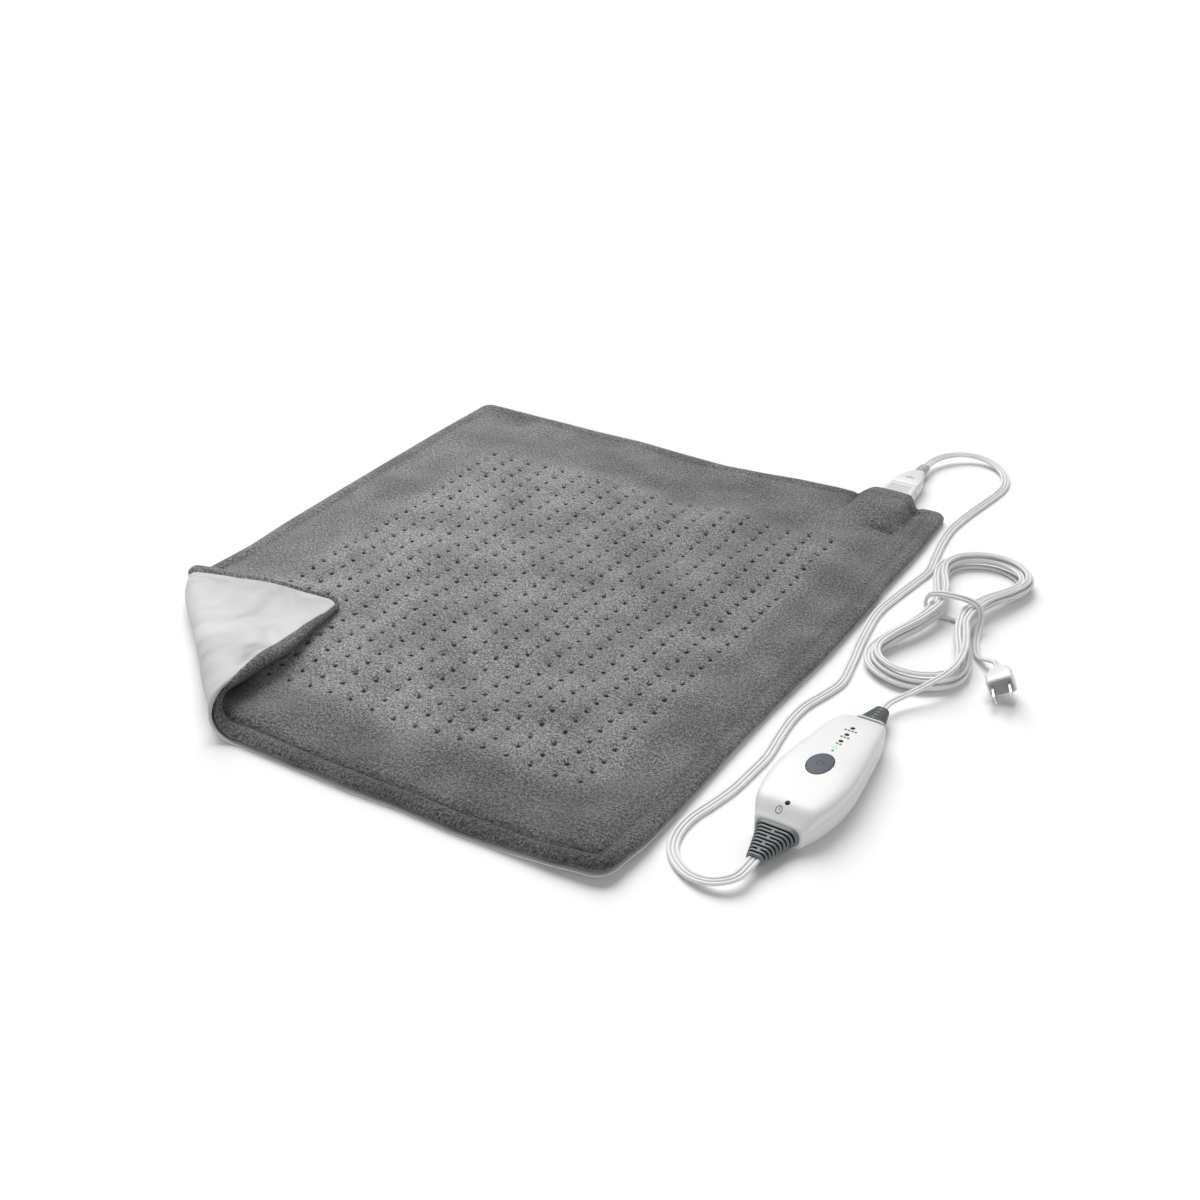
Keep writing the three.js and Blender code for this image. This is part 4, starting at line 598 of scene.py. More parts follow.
# The pile's own grain, times painted sheen, painted shade in the dimples and painted shade along the hem and in
# the creases.
pile_grain_and_painted_light = speckle * painted_sheen * (1 - pit * 0.92) * (1 - hem_shade)
plush_tone = plush_tree.node(
    "ShaderNodeMix",
    {"data_type": "RGBA", "blend_type": "MULTIPLY"},
    {0: 1.0, 6: nap_tone, 7: plush_tree.node(
        "ShaderNodeCombineColor", None, {0: pile_grain_and_painted_light, 1: pile_grain_and_painted_light, 2: pile_grain_and_painted_light})},
    out=2,
)
feed(plush_tone, plush_shader, "Base Color")
pile = relief(plush_tree, strands, 0.0016, 0.9)
feed(relief(plush_tree, clumps * (hem_shade * 4 + 1) - pit * 1.2, 0.0022, 0.8, pile), plush_shader, "Normal")

plush_cover = mesh_piece("plush_cover", cloth_slab("plush", (231, 277), 1), plush)
x, y, level = cloth_points(plush_cover)
x, y = rounded(x, y)
keep_flat_place(plush_cover, x, y)
inside = edge_distance(x, y)
is_top = level > 0.5
heated = rise(np.minimum(np.minimum(x + 0.186, 0.205 - x), np.minimum(y + 0.245, 0.206 - y)), -0.012, 0.012)
low = 0.0017 + 0.0037 * heated
high = 0.0082 + 0.0014 * heated
swell = 0.0056 * soft_noise(x, y, 0.062, 3.1) + 0.0024 * soft_noise(x, y, 0.028, 7.7)
high += swell * rise(inside, 0.008, 0.03)
high -= 0.0032 * tuft_depth(x, y) * heated * rise(inside, 0.01, 0.03)
hem = 0.35 + 0.65 * (1 - rise(y, -0.292, -0.27))
crest = 0.0075 + 0.0022 * soft_noise(x, y, 0.05, 5.5)
groove = np.exp(-(((inside - crest - 0.0066) / 0.0027) ** 2))
high += hem * 0.0018 * np.exp(-(((inside - crest) / 0.0042) ** 2))
high -= hem * 0.003 * groove
# Painted shadow in the groove behind the hem roll, and the hem band painted a little darker.
shade = is_top * (0.6 * groove + 0.17 * (1 - rise(inside, crest + 0.001, crest + 0.006)))
flap = turned_over(x, y)
laid, rim_laid = turned_over(x, y, 0.012, 0.06), turned_over(x, y, 0.004, 0.02)
hem_end, rim_end = -0.305 + flap_hem(x) * laid, -0.254 + flap_rim(y) * rim_laid
low -= 0.0034 * rise(laid, 0.0, 0.4) * (1 - rise(y, hem_end - 0.001, hem_end + 0.0025)) * rise(x, -0.2535, -0.244)
low -= 0.004 * rim_laid * (1 - rise(x, rim_end - 0.0015, rim_end + 0.002))
bulge = socket_bulge(x, y)
low += (0.0139 - low) * bulge
high += (0.0178 + 0.0016 * np.cos((x - socket_x) * 70) - high) * bulge
tucks = np.exp(-(((x - socket_x + 0.033) / 0.0035) ** 2)) * rise(y, 0.256, 0.285)
tucks += np.exp(-(((x - socket_x - 0.0245) / 0.003) ** 2)) * rise(y, 0.25, 0.262)
tucks += np.exp(-(((y - 0.2375) / 0.004) ** 2)) * rise(x - socket_x, -0.014, 0.006) * (1 - rise(x - socket_x, 0.018, 0.026))
high -= 0.0022 * tucks
# The painted shade is strongest along the front hem; the creases of the tucks by the socket are painted dark as
# well.
plush_cover.data.attributes.new("hem_shade", "FLOAT", "POINT").data.foreach_set("value", shade * hem + 0.4 * tucks * is_top)
crown = np.sqrt(np.clip(1 - (1 - np.clip(inside, 0, 0.0062) / 0.0062) ** 2, 0, 1))
middle = (low + high) / 2
half = np.maximum((high - low) / 2 * crown, 0.0004)
z = np.where(is_top, middle + half, middle - half)
z -= 0.0044 * flap * soft_noise(x, y, 0.045, 9.3)
x, y = settled(x, y)
z += 0.0055 * rise(x, 0.16, 0.254) * (1 - rise(y, -0.305, -0.2))
x, y, z = fold_over(x, y, z, 0.0056, flap_droop)
set_cloth(plush_cover, x, y, z)
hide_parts("pad_plush_cover", "socket_sleeve")
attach(plush_cover, "root")


# Underside of the pad: a smooth white woven cloth, sewn to the plush at the hem, where a narrow
# rim of it shows. It faces up on the corner that is turned over.
lining, lining_tree, lining_shader = new_finish("white woven lining", 0.8, Sheen_Weight=0.15)
lining_place = lining_tree.node("ShaderNodeUVMap", {"uv_map": "cloth"})
lining_cloud, lining_tone = mottled(
    lining_tree, lining_place, (0.58, 0.585, 0.59), (0.7, 0.702, 0.705), 14, 3.0
)
feed(lining_tone, lining_shader, "Base Color")
threads = [
    lining_tree.node(
        "ShaderNodeTexWave",
        {"wave_type": "BANDS", "bands_direction": direction},
        {"Vector": lining_place, "Scale": 420, "Distortion": 1.2, "Detail": 1.0},
    )
    for direction in ("X", "Y")
]
creases = lining_tree.node(
    "ShaderNodeTexNoise", None, {"Vector": lining_place, "Scale": 21, "Detail": 1.3, "Distortion": 0.35}
)
weave = relief(lining_tree, threads[0] * threads[1], 0.0002, 0.3)
feed(relief(lining_tree, creases, 0.018, 0.95, weave), lining_shader, "Normal")

lining_sheet = mesh_piece("underside_lining", cloth_slab("lining", (170, 204), 1), lining)
x, y, level = cloth_points(lining_sheet)
x, y = rounded(x, y)
keep_flat_place(lining_sheet, x, y)
inside = edge_distance(x, y)
flap = turned_over(x, y)
laid = turned_over(x, y, 0.012, 0.06)
rolled = (flap - laid) * (1 - rise(y, -0.3, -0.28))
z = np.where(level > 0.5, 0.0012, -0.0014 * rolled) - 0.0044 * flap * soft_noise(x, y, 0.045, 9.3)
y -= 0.0018 * rolled
x, y = settled(x, y * (1 + 0.0014 / 0.61))
y += flap_hem(x) * laid * (1 - rise(y, -0.312, -0.26))
x += flap_rim(y) * turned_over(x, y, 0.004, 0.02) * (1 - rise(x, -0.256, -0.225))
z += 0.0055 * rise(x, 0.16, 0.254) * (1 - rise(y, -0.305, -0.2))
x, y, z = fold_over(x, y, z, 0.0056, flap_droop)
set_cloth(lining_sheet, x, y, z)
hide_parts("pad_underside_cover")
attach(lining_sheet, "root")


# Socket: a white moulded housing sewn in at the pad's back edge, open at its mouth, with a shallow
# recess on top and a round release button through each side wall.
def rounded_outline(width, height, radius, arc_steps=5):
    """Outline of a rectangle with round corners, as places across and up."""
    outline = []
    for quarter in range(4):
        right, high = quarter in (0, 3), quarter < 2
        for k in range(arc_steps + 1):
            turn = (quarter + k / arc_steps) * math.pi / 2
            outline.append((
                (width / 2 - radius) * (1 if right else -1) + radius * math.cos(turn),
                (height / 2 - radius) * (1 if high else -1) + radius * math.sin(turn),
            ))
    return outline


def moulded(bm, stations, place, radius=None):
    """A moulding along its own Y axis: each station gives how far along, the width, the height
    and how far its outline is drawn in to round an edge. Its corners are as round as the radius
    says, or else in step with its height."""
    rings = []
    for along, width, height, drawn_in in stations:
        corner = (radius or 0.45 * height) - drawn_in * 0.9
        outline = rounded_outline(width - 2 * drawn_in, height - 2 * drawn_in, corner)
        rings.append([place @ Vector((across, along, up)) for across, up in outline])
    skin(bm, rings)


def eased_ends(start, end, radius):
    """How far along, and how far drawn in, the rings that round a moulding's two ends are."""
    turns = [math.pi / 2 * k / 4 for k in range(5)]
    first = [(start + radius * (1 - math.sin(t)), radius * (1 - math.cos(t))) for t in turns[::-1]]
    last = [(end - radius * (1 - math.sin(t)), radius * (1 - math.cos(t))) for t in turns]
    return first, last


def sink_wells(piece, wells, sharp_from=35):
    """Cuts closed forms out of a piece."""
    cutter = mesh_piece("wells", wells, piece.data.materials[0])
    cut = piece.modifiers.new("wells", "BOOLEAN")
    cut.object, cut.solver = cutter, "EXACT"
    shape = piece.evaluated_get(bpy.context.evaluated_depsgraph_get())
    mesh = bpy.data.meshes.new_from_object(shape)
    piece.modifiers.clear()
    piece.data = mesh
    bpy.data.objects.remove(cutter)
    mesh.shade_smooth()
    mesh.set_sharp_from_angle(angle=math.radians(sharp_from))


def block(bm, size, place):
    """A plain block of one size; place is where its middle lies."""
    made = bmesh.ops.create_cube(bm, size=1)["verts"]
    bmesh.ops.scale(bm, vec=size, verts=made)
    bmesh.ops.transform(bm, matrix=place, verts=made)


def plain_finish(name, dark, light, roughness, scale, **constants):
    """A finish of one moulding or metal: its tone and gloss drift a little, over a fine grain."""
    material, tree, shader = new_finish(name, roughness, **constants)
    where = tree.node("ShaderNodeTexCoord", out=3)
    cloud, tone = mottled(tree, where, dark, light, scale)
    feed(tone, shader, "Base Color")
    feed(cloud.step(0.3, 0.7, roughness * 0.88, roughness * 1.12), shader, "Roughness")
    grain = tree.node("ShaderNodeTexNoise", None, {"Vector": where, "Scale": scale * 20, "Detail": 2.0})
    feed(relief(tree, grain, 0.0001, 0.35), shader, "Normal")
    return material


moulding, moulding_tree, moulding_shader = new_finish("glossy white moulding", 0.3, Coat_Weight=0.15)
moulding_place = moulding_tree.node("ShaderNodeTexCoord", out=3)
moulding_cloud, moulding_tone = mottled(
    moulding_tree, moulding_place, (0.785, 0.785, 0.782), (0.812, 0.812, 0.81), 30
)
feed(moulding_tone, moulding_shader, "Base Color")
feed(moulding_cloud.step(0.3, 0.7, 0.26, 0.36), moulding_shader, "Roughness")
moulding_skin = moulding_tree.node(
    "ShaderNodeTexNoise", None, {"Vector": moulding_place, "Scale": 1400, "Detail": 1.0}
)
feed(relief(moulding_tree, moulding_skin, 0.00005, 0.3), moulding_shader, "Normal")

socket_axis = Matrix.Translation((0.2025, 0, 0.0076))
socket_root, socket_edge, socket_mouth = 0.2694, 0.305, 0.3294
socket_wide, socket_narrow, socket_high = 0.033, 0.0284, 0.0118
bm = bmesh.new()
root_rings, mouth_rings = eased_ends(socket_root, socket_mouth, 0.0007)
moulded(
    bm,
    [(y, socket_wide, socket_high, inwards) for y, inwards in root_rings]
    + [(socket_edge, socket_wide, socket_high, 0)]
    + [(y, socket_narrow, socket_high, inwards) for y, inwards in mouth_rings],
    socket_axis, 0.0026,
)
socket_case = mesh_piece("socket_case", bm, moulding, sharp_from=35)
bm = bmesh.new()
block(bm, (0.021, 0.03, 0.007), socket_axis @ Matrix.Translation((0, socket_mouth - 0.009, 0)))
block(bm, (0.0198, 0.013, 0.0014), socket_axis @ Matrix.Translation((0, 0.3171, 0.0061)))
bore = bmesh.ops.create_cone(
    bm, cap_ends=True, segments=32, radius1=0.00345, radius2=0.00345, depth=0.04
)["verts"]
bmesh.ops.transform(
    bm, verts=bore,
    matrix=socket_axis @ Matrix.Translation((0, 0.3232, 0.0012)) @ Matrix.Rotation(math.pi / 2, 4, "Y"),
)
sink_wells(socket_case, bm)
# A thin grey sheet lies in the recess on top, so that the recess reads darker than the white case.
bm = bmesh.new()
block(bm, (0.0192, 0.0124, 0.0005), socket_axis @ Matrix.Translation((0, 0.3171, 0.0054)))
recess_finish = plain_finish("matt recess face", (0.58, 0.58, 0.585), (0.66, 0.66, 0.665), 0.7, 400)
recess_face = mesh_piece("recess_face", bm, recess_finish, smooth=False)
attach(recess_face, "root")
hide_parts("socket_upper_shell", "socket_lower_shell")
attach(socket_case, "root")


# Plug of the pad lead: a white moulding that tapers towards the lead, with a tongue that goes
# into the socket, a raised arrow on top and a short grey sleeve with slots round it.
def ribbed_sleeve(name, place, length, base, tip, collar, slots, body, finish, core_shade_finish):
    """A tapering sleeve: solid ribs on a core whose colour is painted shade, so that the slots
    between them read dark, with bridges across the slots by turns on its faces and on its sides."""

    def size(along):
        share = (along / length) ** 0.8
        return [b + (t - b) * share for b, t in zip(base, tip)]

    pitch = (length - collar) / slots
    gap_share = 0.5
    core = bmesh.new()
    core_stations = []
    for along in (length * k / 8 for k in range(9)):
        width, height = size(along)
        core_stations.append((along * 0.985, width, height, 0.0006))
    moulded(core, core_stations, place)
    core_piece = mesh_piece(f"{name}_core", core, core_shade_finish, sharp_from=40)
    ribs = bmesh.new()
    starts = [collar + pitch * (k + gap_share) for k in range(slots)]
    spans = [(0, collar)] + [(start, start + pitch * (1 - gap_share)) for start in starts]
    for start, end in spans:
        edge = min(0.00025, (end - start) / 4)
        first, last = eased_ends(start, end, edge)
        moulded(ribs, [(y, *size(min(y, length)), inwards) for y, inwards in first + last], place)
    for k, start in enumerate(starts):
        middle = start - pitch * gap_share / 2
        width, height = size(middle)
        if k % 2:
            bridge, across, up = (0.0021, pitch * gap_share * 1.3, height - 0.0003), 0, 0
        else:
            bridge, across, up = (width - 0.0003, pitch * gap_share * 1.3, 0.0018), 0, -height * 0.12
        block(ribs, bridge, place @ Matrix.Translation((across, middle, up)))
    rib_piece = mesh_piece(f"{name}_ribs", ribs, finish, sharp_from=40)
    for piece in (core_piece, rib_piece):
        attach(piece, body)
    return rib_piece


sleeve_rubber = plain_finish("slate moulded sleeve", (0.155, 0.172, 0.182), (0.19, 0.21, 0.22), 0.5, 60)
# Painted shade: the cores under the ribs are nearly black below the slate sleeves and darker grey below the pale
# one, standing in for the shade deep in the slots.
slot_shade_finish = plain_finish("painted shade in a sleeve's slots", (0.003, 0.003, 0.0035), (0.006, 0.0065, 0.007), 0.9, 60,
                            Specular_IOR_Level=0.0)
pale_sleeve = plain_finish("pale grey sleeve", (0.56, 0.57, 0.575), (0.62, 0.63, 0.635), 0.5, 60)
pale_slot_shade_finish = plain_finish("painted shade in the pale sleeve's slots", (0.2, 0.205, 0.21), (0.25, 0.255, 0.26), 0.7, 60)

plug_front, plug_taper, plug_end = 0.32975, 0.34275, 0.36835
bm = bmesh.new()
front_rings, end_rings = eased_ends(plug_front, plug_end, 0.0008)
moulded(
    bm,
    [(y, socket_narrow, socket_high, inwards) for y, inwards in front_rings]
    + [
        (
            plug_taper + (plug_end - 0.002 - plug_taper) * k / 10,
            0.0268 + (0.0128 - 0.0268) * (k / 10) ** 1.25,
            socket_high + (0.0086 - socket_high) * (k / 10) ** 1.4,
            0,
        )
        for k in range(11)
    ]
    + [(y, 0.0126, 0.0086, inwards) for y, inwards in end_rings],
    socket_axis, 0.0026,
)
block(bm, (0.0203, 0.026, 0.0063), socket_axis @ Matrix.Translation((0, 0.3187, 0)))
plug_case = mesh_piece("plug_case", bm, moulding, sharp_from=35)
bm = bmesh.new()
arrow = bmesh.ops.create_cone(bm, cap_ends=True, segments=3, radius1=1, radius2=1, depth=1)["verts"]
bmesh.ops.transform(
    bm, verts=arrow,
    matrix=socket_axis @ Matrix.Translation((0, 0.3451, 0.0053)) @ Matrix.Diagonal((0.0048, 0.0036, 0.0022, 1)),
)
# The raised arrow is grey like the recess.
plug_arrow = mesh_piece("plug_arrow", bm, recess_finish, smooth=False)
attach(plug_arrow, "pad_connector")
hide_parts("connector_upper_shell", "connector_lower_shell")
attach(plug_case, "pad_connector")
lead_sleeve = ribbed_sleeve(
    "lead_sleeve", socket_axis @ Matrix.Translation((0, 0.3687, 0)), 0.017, (0.0122, 0.0082),
    (0.0098, 0.0064), 0.0012, 5, "pad_connector", pale_sleeve, pale_slot_shade_finish,
)
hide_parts("connector_strain_relief")


# Controller: a glossy white case in two halves, boxy across and leaf-shaped along, with a fine
# seam round it. An oval power button and five lamps sit in its face.
case_length, case_width, case_height = 0.146, 0.0574, 0.0268
case_ends = (0.0166, 0.0146)
case_seam_share = 0.61
case_width_shares = (0.61, 0.8, 0.91, 0.975, 1, 0.99, 0.945, 0.89, 0.83, 0.775, 0.705, 0.6, 0.42)
case_crown_shares = (0, 0.8, 0.93, 0.97, 0.99, 1, 0.97, 0.94, 0.91, 0.87, 0.8, 0.6, 0)
case_middle, case_turn = Vector((0.32834, -0.13950, 0)), math.radians(-1.4)
case_place = Matrix.Translation(case_middle) @ Matrix.Rotation(case_turn, 4, "Z")
button_along, button_wide, button_long = -0.0117, 0.0176, 0.0268
lamp_alongs = (0.0116, 0.0216, 0.0316, 0.0416)
timer_along = -0.0605


def share_along(shares, along):
    """Value at one place of an even row of shares, smoothly between them."""
    place = min(max(along, 0.0), 1.0) * (len(shares) - 1)
    k = min(int(place), len(shares) - 2)
    a, b, c, d = (shares[min(max(k + n, 0), len(shares) - 1)] for n in (-1, 0, 1, 2))
    t = place - k
    return b + t * (c - a + t * (2 * a - 5 * b + 4 * c - d + t * (3 * (b - c) + d - a))) / 2


def case_top(y):
    along = y / case_length + 0.5
    end = case_ends[0] + (case_ends[1] - case_ends[0]) * along
    return end + (case_height - end) * share_along(case_crown_shares, along)


def case_ring(y, drawn_in):
    """Section of the case: nearly square below its seam, rounded over into the face above."""
    half = case_width / 2 * share_along(case_width_shares, y / case_length + 0.5) - drawn_in
    top = case_top(y) - drawn_in
    seam, groove = top * case_seam_share, 0.00016
    right = []
    for k in range(12):
        turn = math.pi / 2 * (1 - k / 11.5)
        right.append((half * math.cos(turn) ** 0.3, seam - seam * math.sin(turn) ** 0.3))
    right += [(half, seam - groove), (half - groove, seam), (half, seam + groove)]
    for k in range(15):
        turn = math.pi / 2 * (k + 0.5) / 14.5
        right.append((half * math.cos(turn) ** 0.42, seam + (top - seam) * math.sin(turn) ** 0.42))
    right[0], right[-1] = (0, drawn_in * 0.7), (0, top)
    left = [(-across, up) for across, up in right[-2:0:-1]]
    return [case_place @ Vector((across, y, up)) for across, up in right + left]


first, last = eased_ends(-case_length / 2, case_length / 2, 0.0016)
case_rings = [case_ring(y, inwards) for y, inwards in first]
case_rings += [case_ring(-case_length / 2 + 0.002 + 0.142 * k / 56, 0) for k in range(57)]
case_rings += [case_ring(y, inwards) for y, inwards in last]
bm = bmesh.new()
skin(bm, case_rings)

case_finish, case_tree, case_shader = new_finish("printed white case", 0.4, Coat_Weight=0.08)
case_object = case_tree.node("ShaderNodeTexCoord", out=3)
case_local = case_tree.node(
    "ShaderNodeMapping", {"vector_type": "TEXTURE"},
    {0: case_object, 1: tuple(case_middle), 2: (0, 0, case_turn)},
)
case_x, case_y, case_z = (
    case_tree.node("ShaderNodeSeparateXYZ", None, {"Vector": case_local}, out=k) for k in range(3)
)


def band(value, low, high, soft=0.00012):
    """One between two limits and nothing outside them."""
    return value.step(low - soft, low + soft) * (1 - value.step(high - soft, high + soft))


def distance_from(x, y, across, along):
    aside, ahead = x - across, y - along
    return aside.maths("SQRT", aside * aside + ahead * ahead)


printed = case_x * 0.0
for count, along in enumerate(lamp_alongs, 1):
    start, bar = 0.0003 - count * 0.00125, 0.0025
    within = (case_x - start) * (1 / bar)
    bars = band(within.maths("FRACT", within), 0.12, 0.8, 0.05) * band(within, 0.0, float(count), 0.02)
    printed += bars * band(case_y, along - 0.0051, along - 0.0029)
clock = (-0.0034, timer_along - 0.0055)
clock_far = distance_from(case_x, case_y, *clock)
printed += band(clock_far, 0.0018, 0.00235)
printed += band(case_x, clock[0] - 0.00025, clock[0] + 0.0002) * band(case_y, clock[1], clock[1] + 0.0013)
printed += band(case_y, clock[1] - 0.00025, clock[1] + 0.0002) * band(case_x, clock[0], clock[0] + 0.001)
printed *= case_z.step(0.012, 0.013)
case_cloud, case_tone = mottled(
    case_tree, case_object, (0.795, 0.795, 0.793), (0.815, 0.815, 0.813), 26
)
inked = case_tree.node(
    "ShaderNodeMix", {"data_type": "RGBA"}, {0: printed, 6: case_tone, 7: (0.1, 0.105, 0.11, 1)}, out=2
)
feed(inked, case_shader, "Base Color")
feed(case_cloud.step(0.3, 0.7, 0.36, 0.44), case_shader, "Roughness")
case_skin = case_tree.node(
    "ShaderNodeTexNoise", None, {"Vector": case_object, "Scale": 1400, "Detail": 1.0}
)
feed(relief(case_tree, case_skin, 0.00005, 0.3), case_shader, "Normal")

controller_case = mesh_piece("controller_case", bm, case_finish)
bm = bmesh.new()


def well(bm, wide, long, along, depth, segments):
    made = bmesh.ops.create_cone(
        bm, cap_ends=True, segments=segments, radius1=0.5, radius2=0.5, depth=1
    )["verts"]
    shape = Matrix.Translation((0, along, case_top(along))) @ Matrix.Diagonal((wide, long, 2 * depth, 1))
    bmesh.ops.transform(bm, matrix=case_place @ shape, verts=made)


well(bm, button_wide + 0.0007, button_long + 0.0007, button_along, 0.0026, 72)
for along in (*lamp_alongs, timer_along):
    well(bm, 0.0036, 0.0036, along, 0.0016, 24)
sink_wells(controller_case, bm, 60)
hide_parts("controller_upper_shell", "controller_lower_shell")
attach(controller_case, "root")


# Power button: an oval slate cap with a soft dome and a faint power mark moulded in its middle.
button_finish, button_tree, button_shader = new_finish("satin slate cap", 0.5, Specular_IOR_Level=0.35)
button_object = button_tree.node("ShaderNodeTexCoord", out=3)
button_middle = case_place @ Vector((0, button_along, 0))
button_local = button_tree.node(
    "ShaderNodeMapping", {"vector_type": "TEXTURE"},
    {0: button_object, 1: tuple(button_middle), 2: (0, 0, case_turn)},
)
button_x, button_y = (
    button_tree.node("ShaderNodeSeparateXYZ", None, {"Vector": button_local}, out=k) for k in (0, 1)
)
mark_far = distance_from(button_x, button_y, 0.0, 0.0)
mark_gap = band(button_x, -0.0009, 0.0009) * button_y.step(0.0, 0.0002)
power_mark = band(mark_far, 0.0022, 0.00265) * (1 - mark_gap)
power_mark += band(button_x, -0.0002, 0.0002) * band(button_y, 0.0004, 0.0031)
button_cloud, button_tone = mottled(
    button_tree, button_object, (0.062, 0.079, 0.096), (0.08, 0.099, 0.118), 90
)
marked = button_tree.node(
    "ShaderNodeMix", {"data_type": "RGBA"},
    {0: power_mark, 6: button_tone, 7: (0.035, 0.044, 0.054, 1)}, out=2,
)
feed(marked, button_shader, "Base Color")
feed(button_cloud.step(0.3, 0.7, 0.44, 0.56), button_shader, "Roughness")
button_grain = button_tree.node(
    "ShaderNodeTexNoise", None, {"Vector": button_object, "Scale": 1600, "Detail": 2.0}
)
pressed_in = relief(button_tree, 1 - power_mark, 0.0002, 0.8)
feed(relief(button_tree, button_grain, 0.0001, 0.5, pressed_in), button_shader, "Normal")


def oval(share, up, wide=button_wide, long=button_long):
    turns = [2 * math.pi * k / 72 for k in range(72)]
    return [
        case_place @ Vector((
            wide / 2 * share * math.cos(turn), button_along + long / 2 * share * math.sin(turn), up
        ))
        for turn in turns
    ]


face = case_top(button_along)
bm = bmesh.new()
cap_edges = [(1 - 0.055 * (1 - math.cos(t)), 0.0006 * math.sin(t)) for t in (0, 0.4, 0.8, 1.2, 1.57)]
skin(
    bm,
    [oval(1, face - 0.0024)]
    + [oval(share, face - 0.0005 + up) for share, up in cap_edges]
    + [oval(share, face + 0.0001 + 0.0005 * (1 - share * share)) for share in (0.8, 0.6, 0.4, 0.2, 0.03)],
)
skin(bm, [oval(1, up, 0.005, 0.005) for up in (0.0153, face - 0.0026)])
button_cap = mesh_piece("button_cap", bm, button_finish, sharp_from=50)
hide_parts("power_button")
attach(button_cap, "power_switch")


# Lamps: clear round lenses over small light diodes. The first heat lamp is lit green, the others
# are dark amber and dark red.
def finish_nodes(material, *names):
    for name in names:
        for place in bpy.data.objects[name].material_slots:
            place.material = material


def lens(name, node, rim, heart, glow=0.0):
    material, tree, shader = new_finish(name, 0.36, Specular_IOR_Level=0.1)
    low, high = (Vector(corner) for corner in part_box(node))
    centre = (low + high) / 2
    where = tree.node("ShaderNodeTexCoord", out=3)
    x, y = (tree.node("ShaderNodeSeparateXYZ", None, {"Vector": where}, out=k) for k in (0, 1))
    far = distance_from(x, y, centre.x, centre.y)
    tone = tree.node(
        "ShaderNodeMix", {"data_type": "RGBA"},
        {0: far.step(0.0002, 0.0013), 6: (*heart, 1), 7: (*rim, 1)}, out=2,
    )
    feed(tone, shader, "Base Color")
    if glow:
        feed(tone, shader, "Emission Color")
        shader.inputs["Emission Strength"].default_value = glow
    finish_nodes(material, node)


lens("lit green lens", "heat_lamp_1", (0.30, 0.78, 0.34), (0.62, 1.0, 0.62), 0.7)
lens("dark amber lens", "heat_lamp_2", (0.03, 0.018, 0.007), (0.11, 0.05, 0.014))
for lamp in ("heat_lamp_3", "heat_lamp_4", "timer_lamp"):
    lens(f"dark red lens of {lamp}", lamp, (0.02, 0.004, 0.005), (0.075, 0.01, 0.013))


# Sleeves of the controller: slate mouldings that let both cords bend gently, a wide one where the
# pad lead comes in and a smaller one, with a pale band at its foot, on the mains side.
def sleeve_place(along, backwards=False):
    turn = Matrix.Rotation(math.pi, 4, "Z") if backwards else Matrix.Identity(4)
    return case_place @ Matrix.Translation((0, along, 0.009)) @ turn


pad_sleeve = ribbed_sleeve(
    "pad_sleeve", sleeve_place(-case_length / 2 - 0.00035, True), 0.0325, (0.032, 0.014),
    (0.0117, 0.0074), 0.003, 9, "root", sleeve_rubber, slot_shade_finish,
)
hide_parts("pad_lead_strain_relief")
mains_sleeve = ribbed_sleeve(
    "mains_sleeve", sleeve_place(case_length / 2 + 0.00035), 0.023, (0.0242, 0.0118),
    (0.0112, 0.0078), 0.0028, 9, "root", sleeve_rubber, slot_shade_finish,
)
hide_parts("mains_strain_relief")
bm = bmesh.new()
moulded(
    bm, [(y, 0.0249, 0.0125, inwards) for y, inwards in ((0, 0.0003), (0.0003, 0), (0.0017, 0), (0.002, 0.0003))],
    sleeve_place(case_length / 2 + 0.00035),
)
mains_collar = mesh_piece("mains_collar", bm, pale_sleeve, sharp_from=40)
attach(mains_collar, "root")


# Mains plug: a white moulding in two steps with a grey face, and two nickel-plated flat blades
# with a hole near each tip. It lies rolled over on one edge.
plug_place = (
    Matrix.Translation((0.39567, 0.03040, 0.0117)) @ Matrix.Rotation(math.radians(-156.5), 4, "Z")
    @ Matrix.Rotation(math.radians(24.4), 4, "Y")
)
bm = bmesh.new()
rear_rings, waist_rings = eased_ends(-0.021, -0.0142, 0.001)
front_start, front_end = eased_ends(-0.0134, 0.0, 0.0012)
moulded(
    bm,
    [(y, 0.0156, 0.011, inwards) for y, inwards in rear_rings]
    + [(-0.0146, 0.0158, 0.0112, 0)]
    + [(y, 0.0204, 0.0154, inwards) for y, inwards in front_start + front_end],
    plug_place, 0.0026,
)
mains_plug = mesh_piece("mains_plug", bm, moulding, sharp_from=35)
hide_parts("mains_plug_body")
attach(mains_plug, "root")
bm = bmesh.new()
moulded(
    bm, [(y, 0.0174, 0.0124, inwards) for y, inwards in ((-0.001, 0), (0.0001, 0), (0.0003, 0.0002))],
    plug_place, 0.002,
)
face_finish = plain_finish("grey plug face", (0.3, 0.31, 0.315), (0.35, 0.36, 0.365), 0.55, 60)
plug_face = mesh_piece("plug_face", bm, face_finish, sharp_from=35)
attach(plug_face, "root")
nickel = plain_finish("nickel-plated metal", (0.5, 0.5, 0.5), (0.62, 0.62, 0.61), 0.28, 120, Metallic=1.0)
brass = plain_finish("brass contact", (0.55, 0.36, 0.12), (0.66, 0.45, 0.17), 0.32, 120, Metallic=1.0)
finish_nodes(nickel, "mains_blade_left", "mains_blade_right")
finish_nodes(nickel, *(f"housing_screw_{k}" for k in range(1, 5)))
finish_nodes(brass, *(f"socket_pin_{k}" for k in range(1, 4)))
finish_nodes(moulding, "release_button_left", "release_button_right")


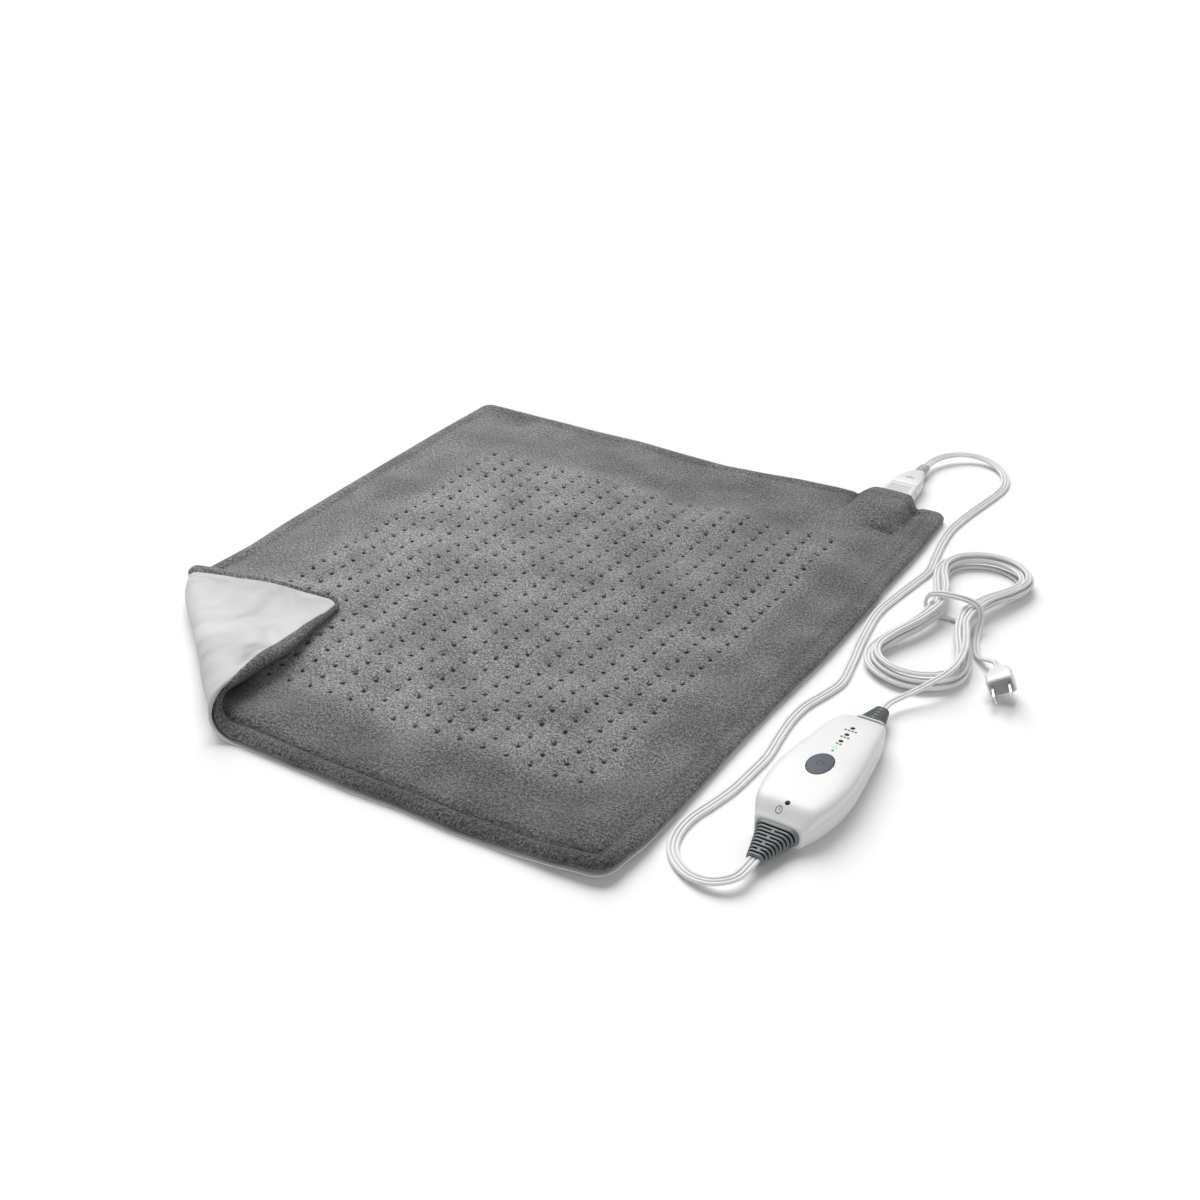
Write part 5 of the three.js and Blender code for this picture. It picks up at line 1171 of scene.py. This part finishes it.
# Inside the pad and the controller: a felt heater with its wire and cut-outs, and a green circuit
# board with the parts that switch the heater.
inner_finishes = {
    "pressed felt": ((0.58, 0.54, 0.46), (0.72, 0.68, 0.6), 0.95, 300, ["heater_felt"]),
    "silicone wire cover": ((0.5, 0.42, 0.28), (0.6, 0.5, 0.36), 0.5, 200, ["heating_wire"]),
    "green laminate": ((0.02, 0.11, 0.04), (0.035, 0.16, 0.06), 0.45, 160, ["circuit_board"]),
    "black component moulding": (
        (0.012, 0.012, 0.013), (0.025, 0.025, 0.026), 0.5, 200,
        ["thermal_cutout_1", "thermal_cutout_2", "switch_body", "switch_plunger", "power_triac",
         "control_chip"],
    ),
    "yellow component case": ((0.6, 0.4, 0.05), (0.72, 0.5, 0.09), 0.4, 150, ["film_capacitor"]),
    "glass fuse tube": ((0.55, 0.58, 0.56), (0.7, 0.72, 0.7), 0.15, 150, ["fuse"]),
}
for finish_name, (dark, light, rough, scale, nodes) in inner_finishes.items():
    finish_nodes(plain_finish(finish_name, dark, light, rough, scale), *nodes)


# Table and light: a plain white table top, soft light from the back left and a weak one from the
# front right.
table_top, table_tree, table_shader = new_finish("white table top", 0.8, Specular_IOR_Level=0.0)
table_shader.inputs["Base Color"].default_value = (0.97, 0.97, 0.97, 1)
bm = bmesh.new()
bmesh.ops.create_grid(bm, x_segments=1, y_segments=1, size=12)
bmesh.ops.translate(bm, vec=(0, 0, -0.0002), verts=bm.verts[:])
table = mesh_piece("table_top", bm, table_top, smooth=False)

sky = bpy.data.worlds.new("studio")
sky.use_nodes = True
bpy.context.scene.world = sky
background = sky.node_tree.nodes["Background"]
background.inputs["Color"].default_value = (1, 1, 1, 1)
sky_rays = sky.node_tree.nodes.new("ShaderNodeLightPath")
sky_strength = sky.node_tree.nodes.new("ShaderNodeMapRange")
sky_strength.inputs["To Min"].default_value = 0.2
sky_strength.inputs["To Max"].default_value = 1.0
sky.node_tree.links.new(sky_rays.outputs["Is Camera Ray"], sky_strength.inputs["Value"])
sky.node_tree.links.new(sky_strength.outputs["Result"], background.inputs["Strength"])

for light_name, toward, spread, energy in (
    ("back_left_light", (-1.0, 1.05, 1.75), 50, 3.04), ("front_right_fill", (0.7, -0.8, 0.55), 60, 0.62),
):
    light = bpy.data.objects.new(light_name, bpy.data.lights.new(light_name, "SUN"))
    bpy.context.collection.objects.link(light)
    light.rotation_euler = (-Vector(toward)).to_track_quat("-Z", "Y").to_euler()
    light.data.angle = math.radians(spread)
    light.data.energy = energy
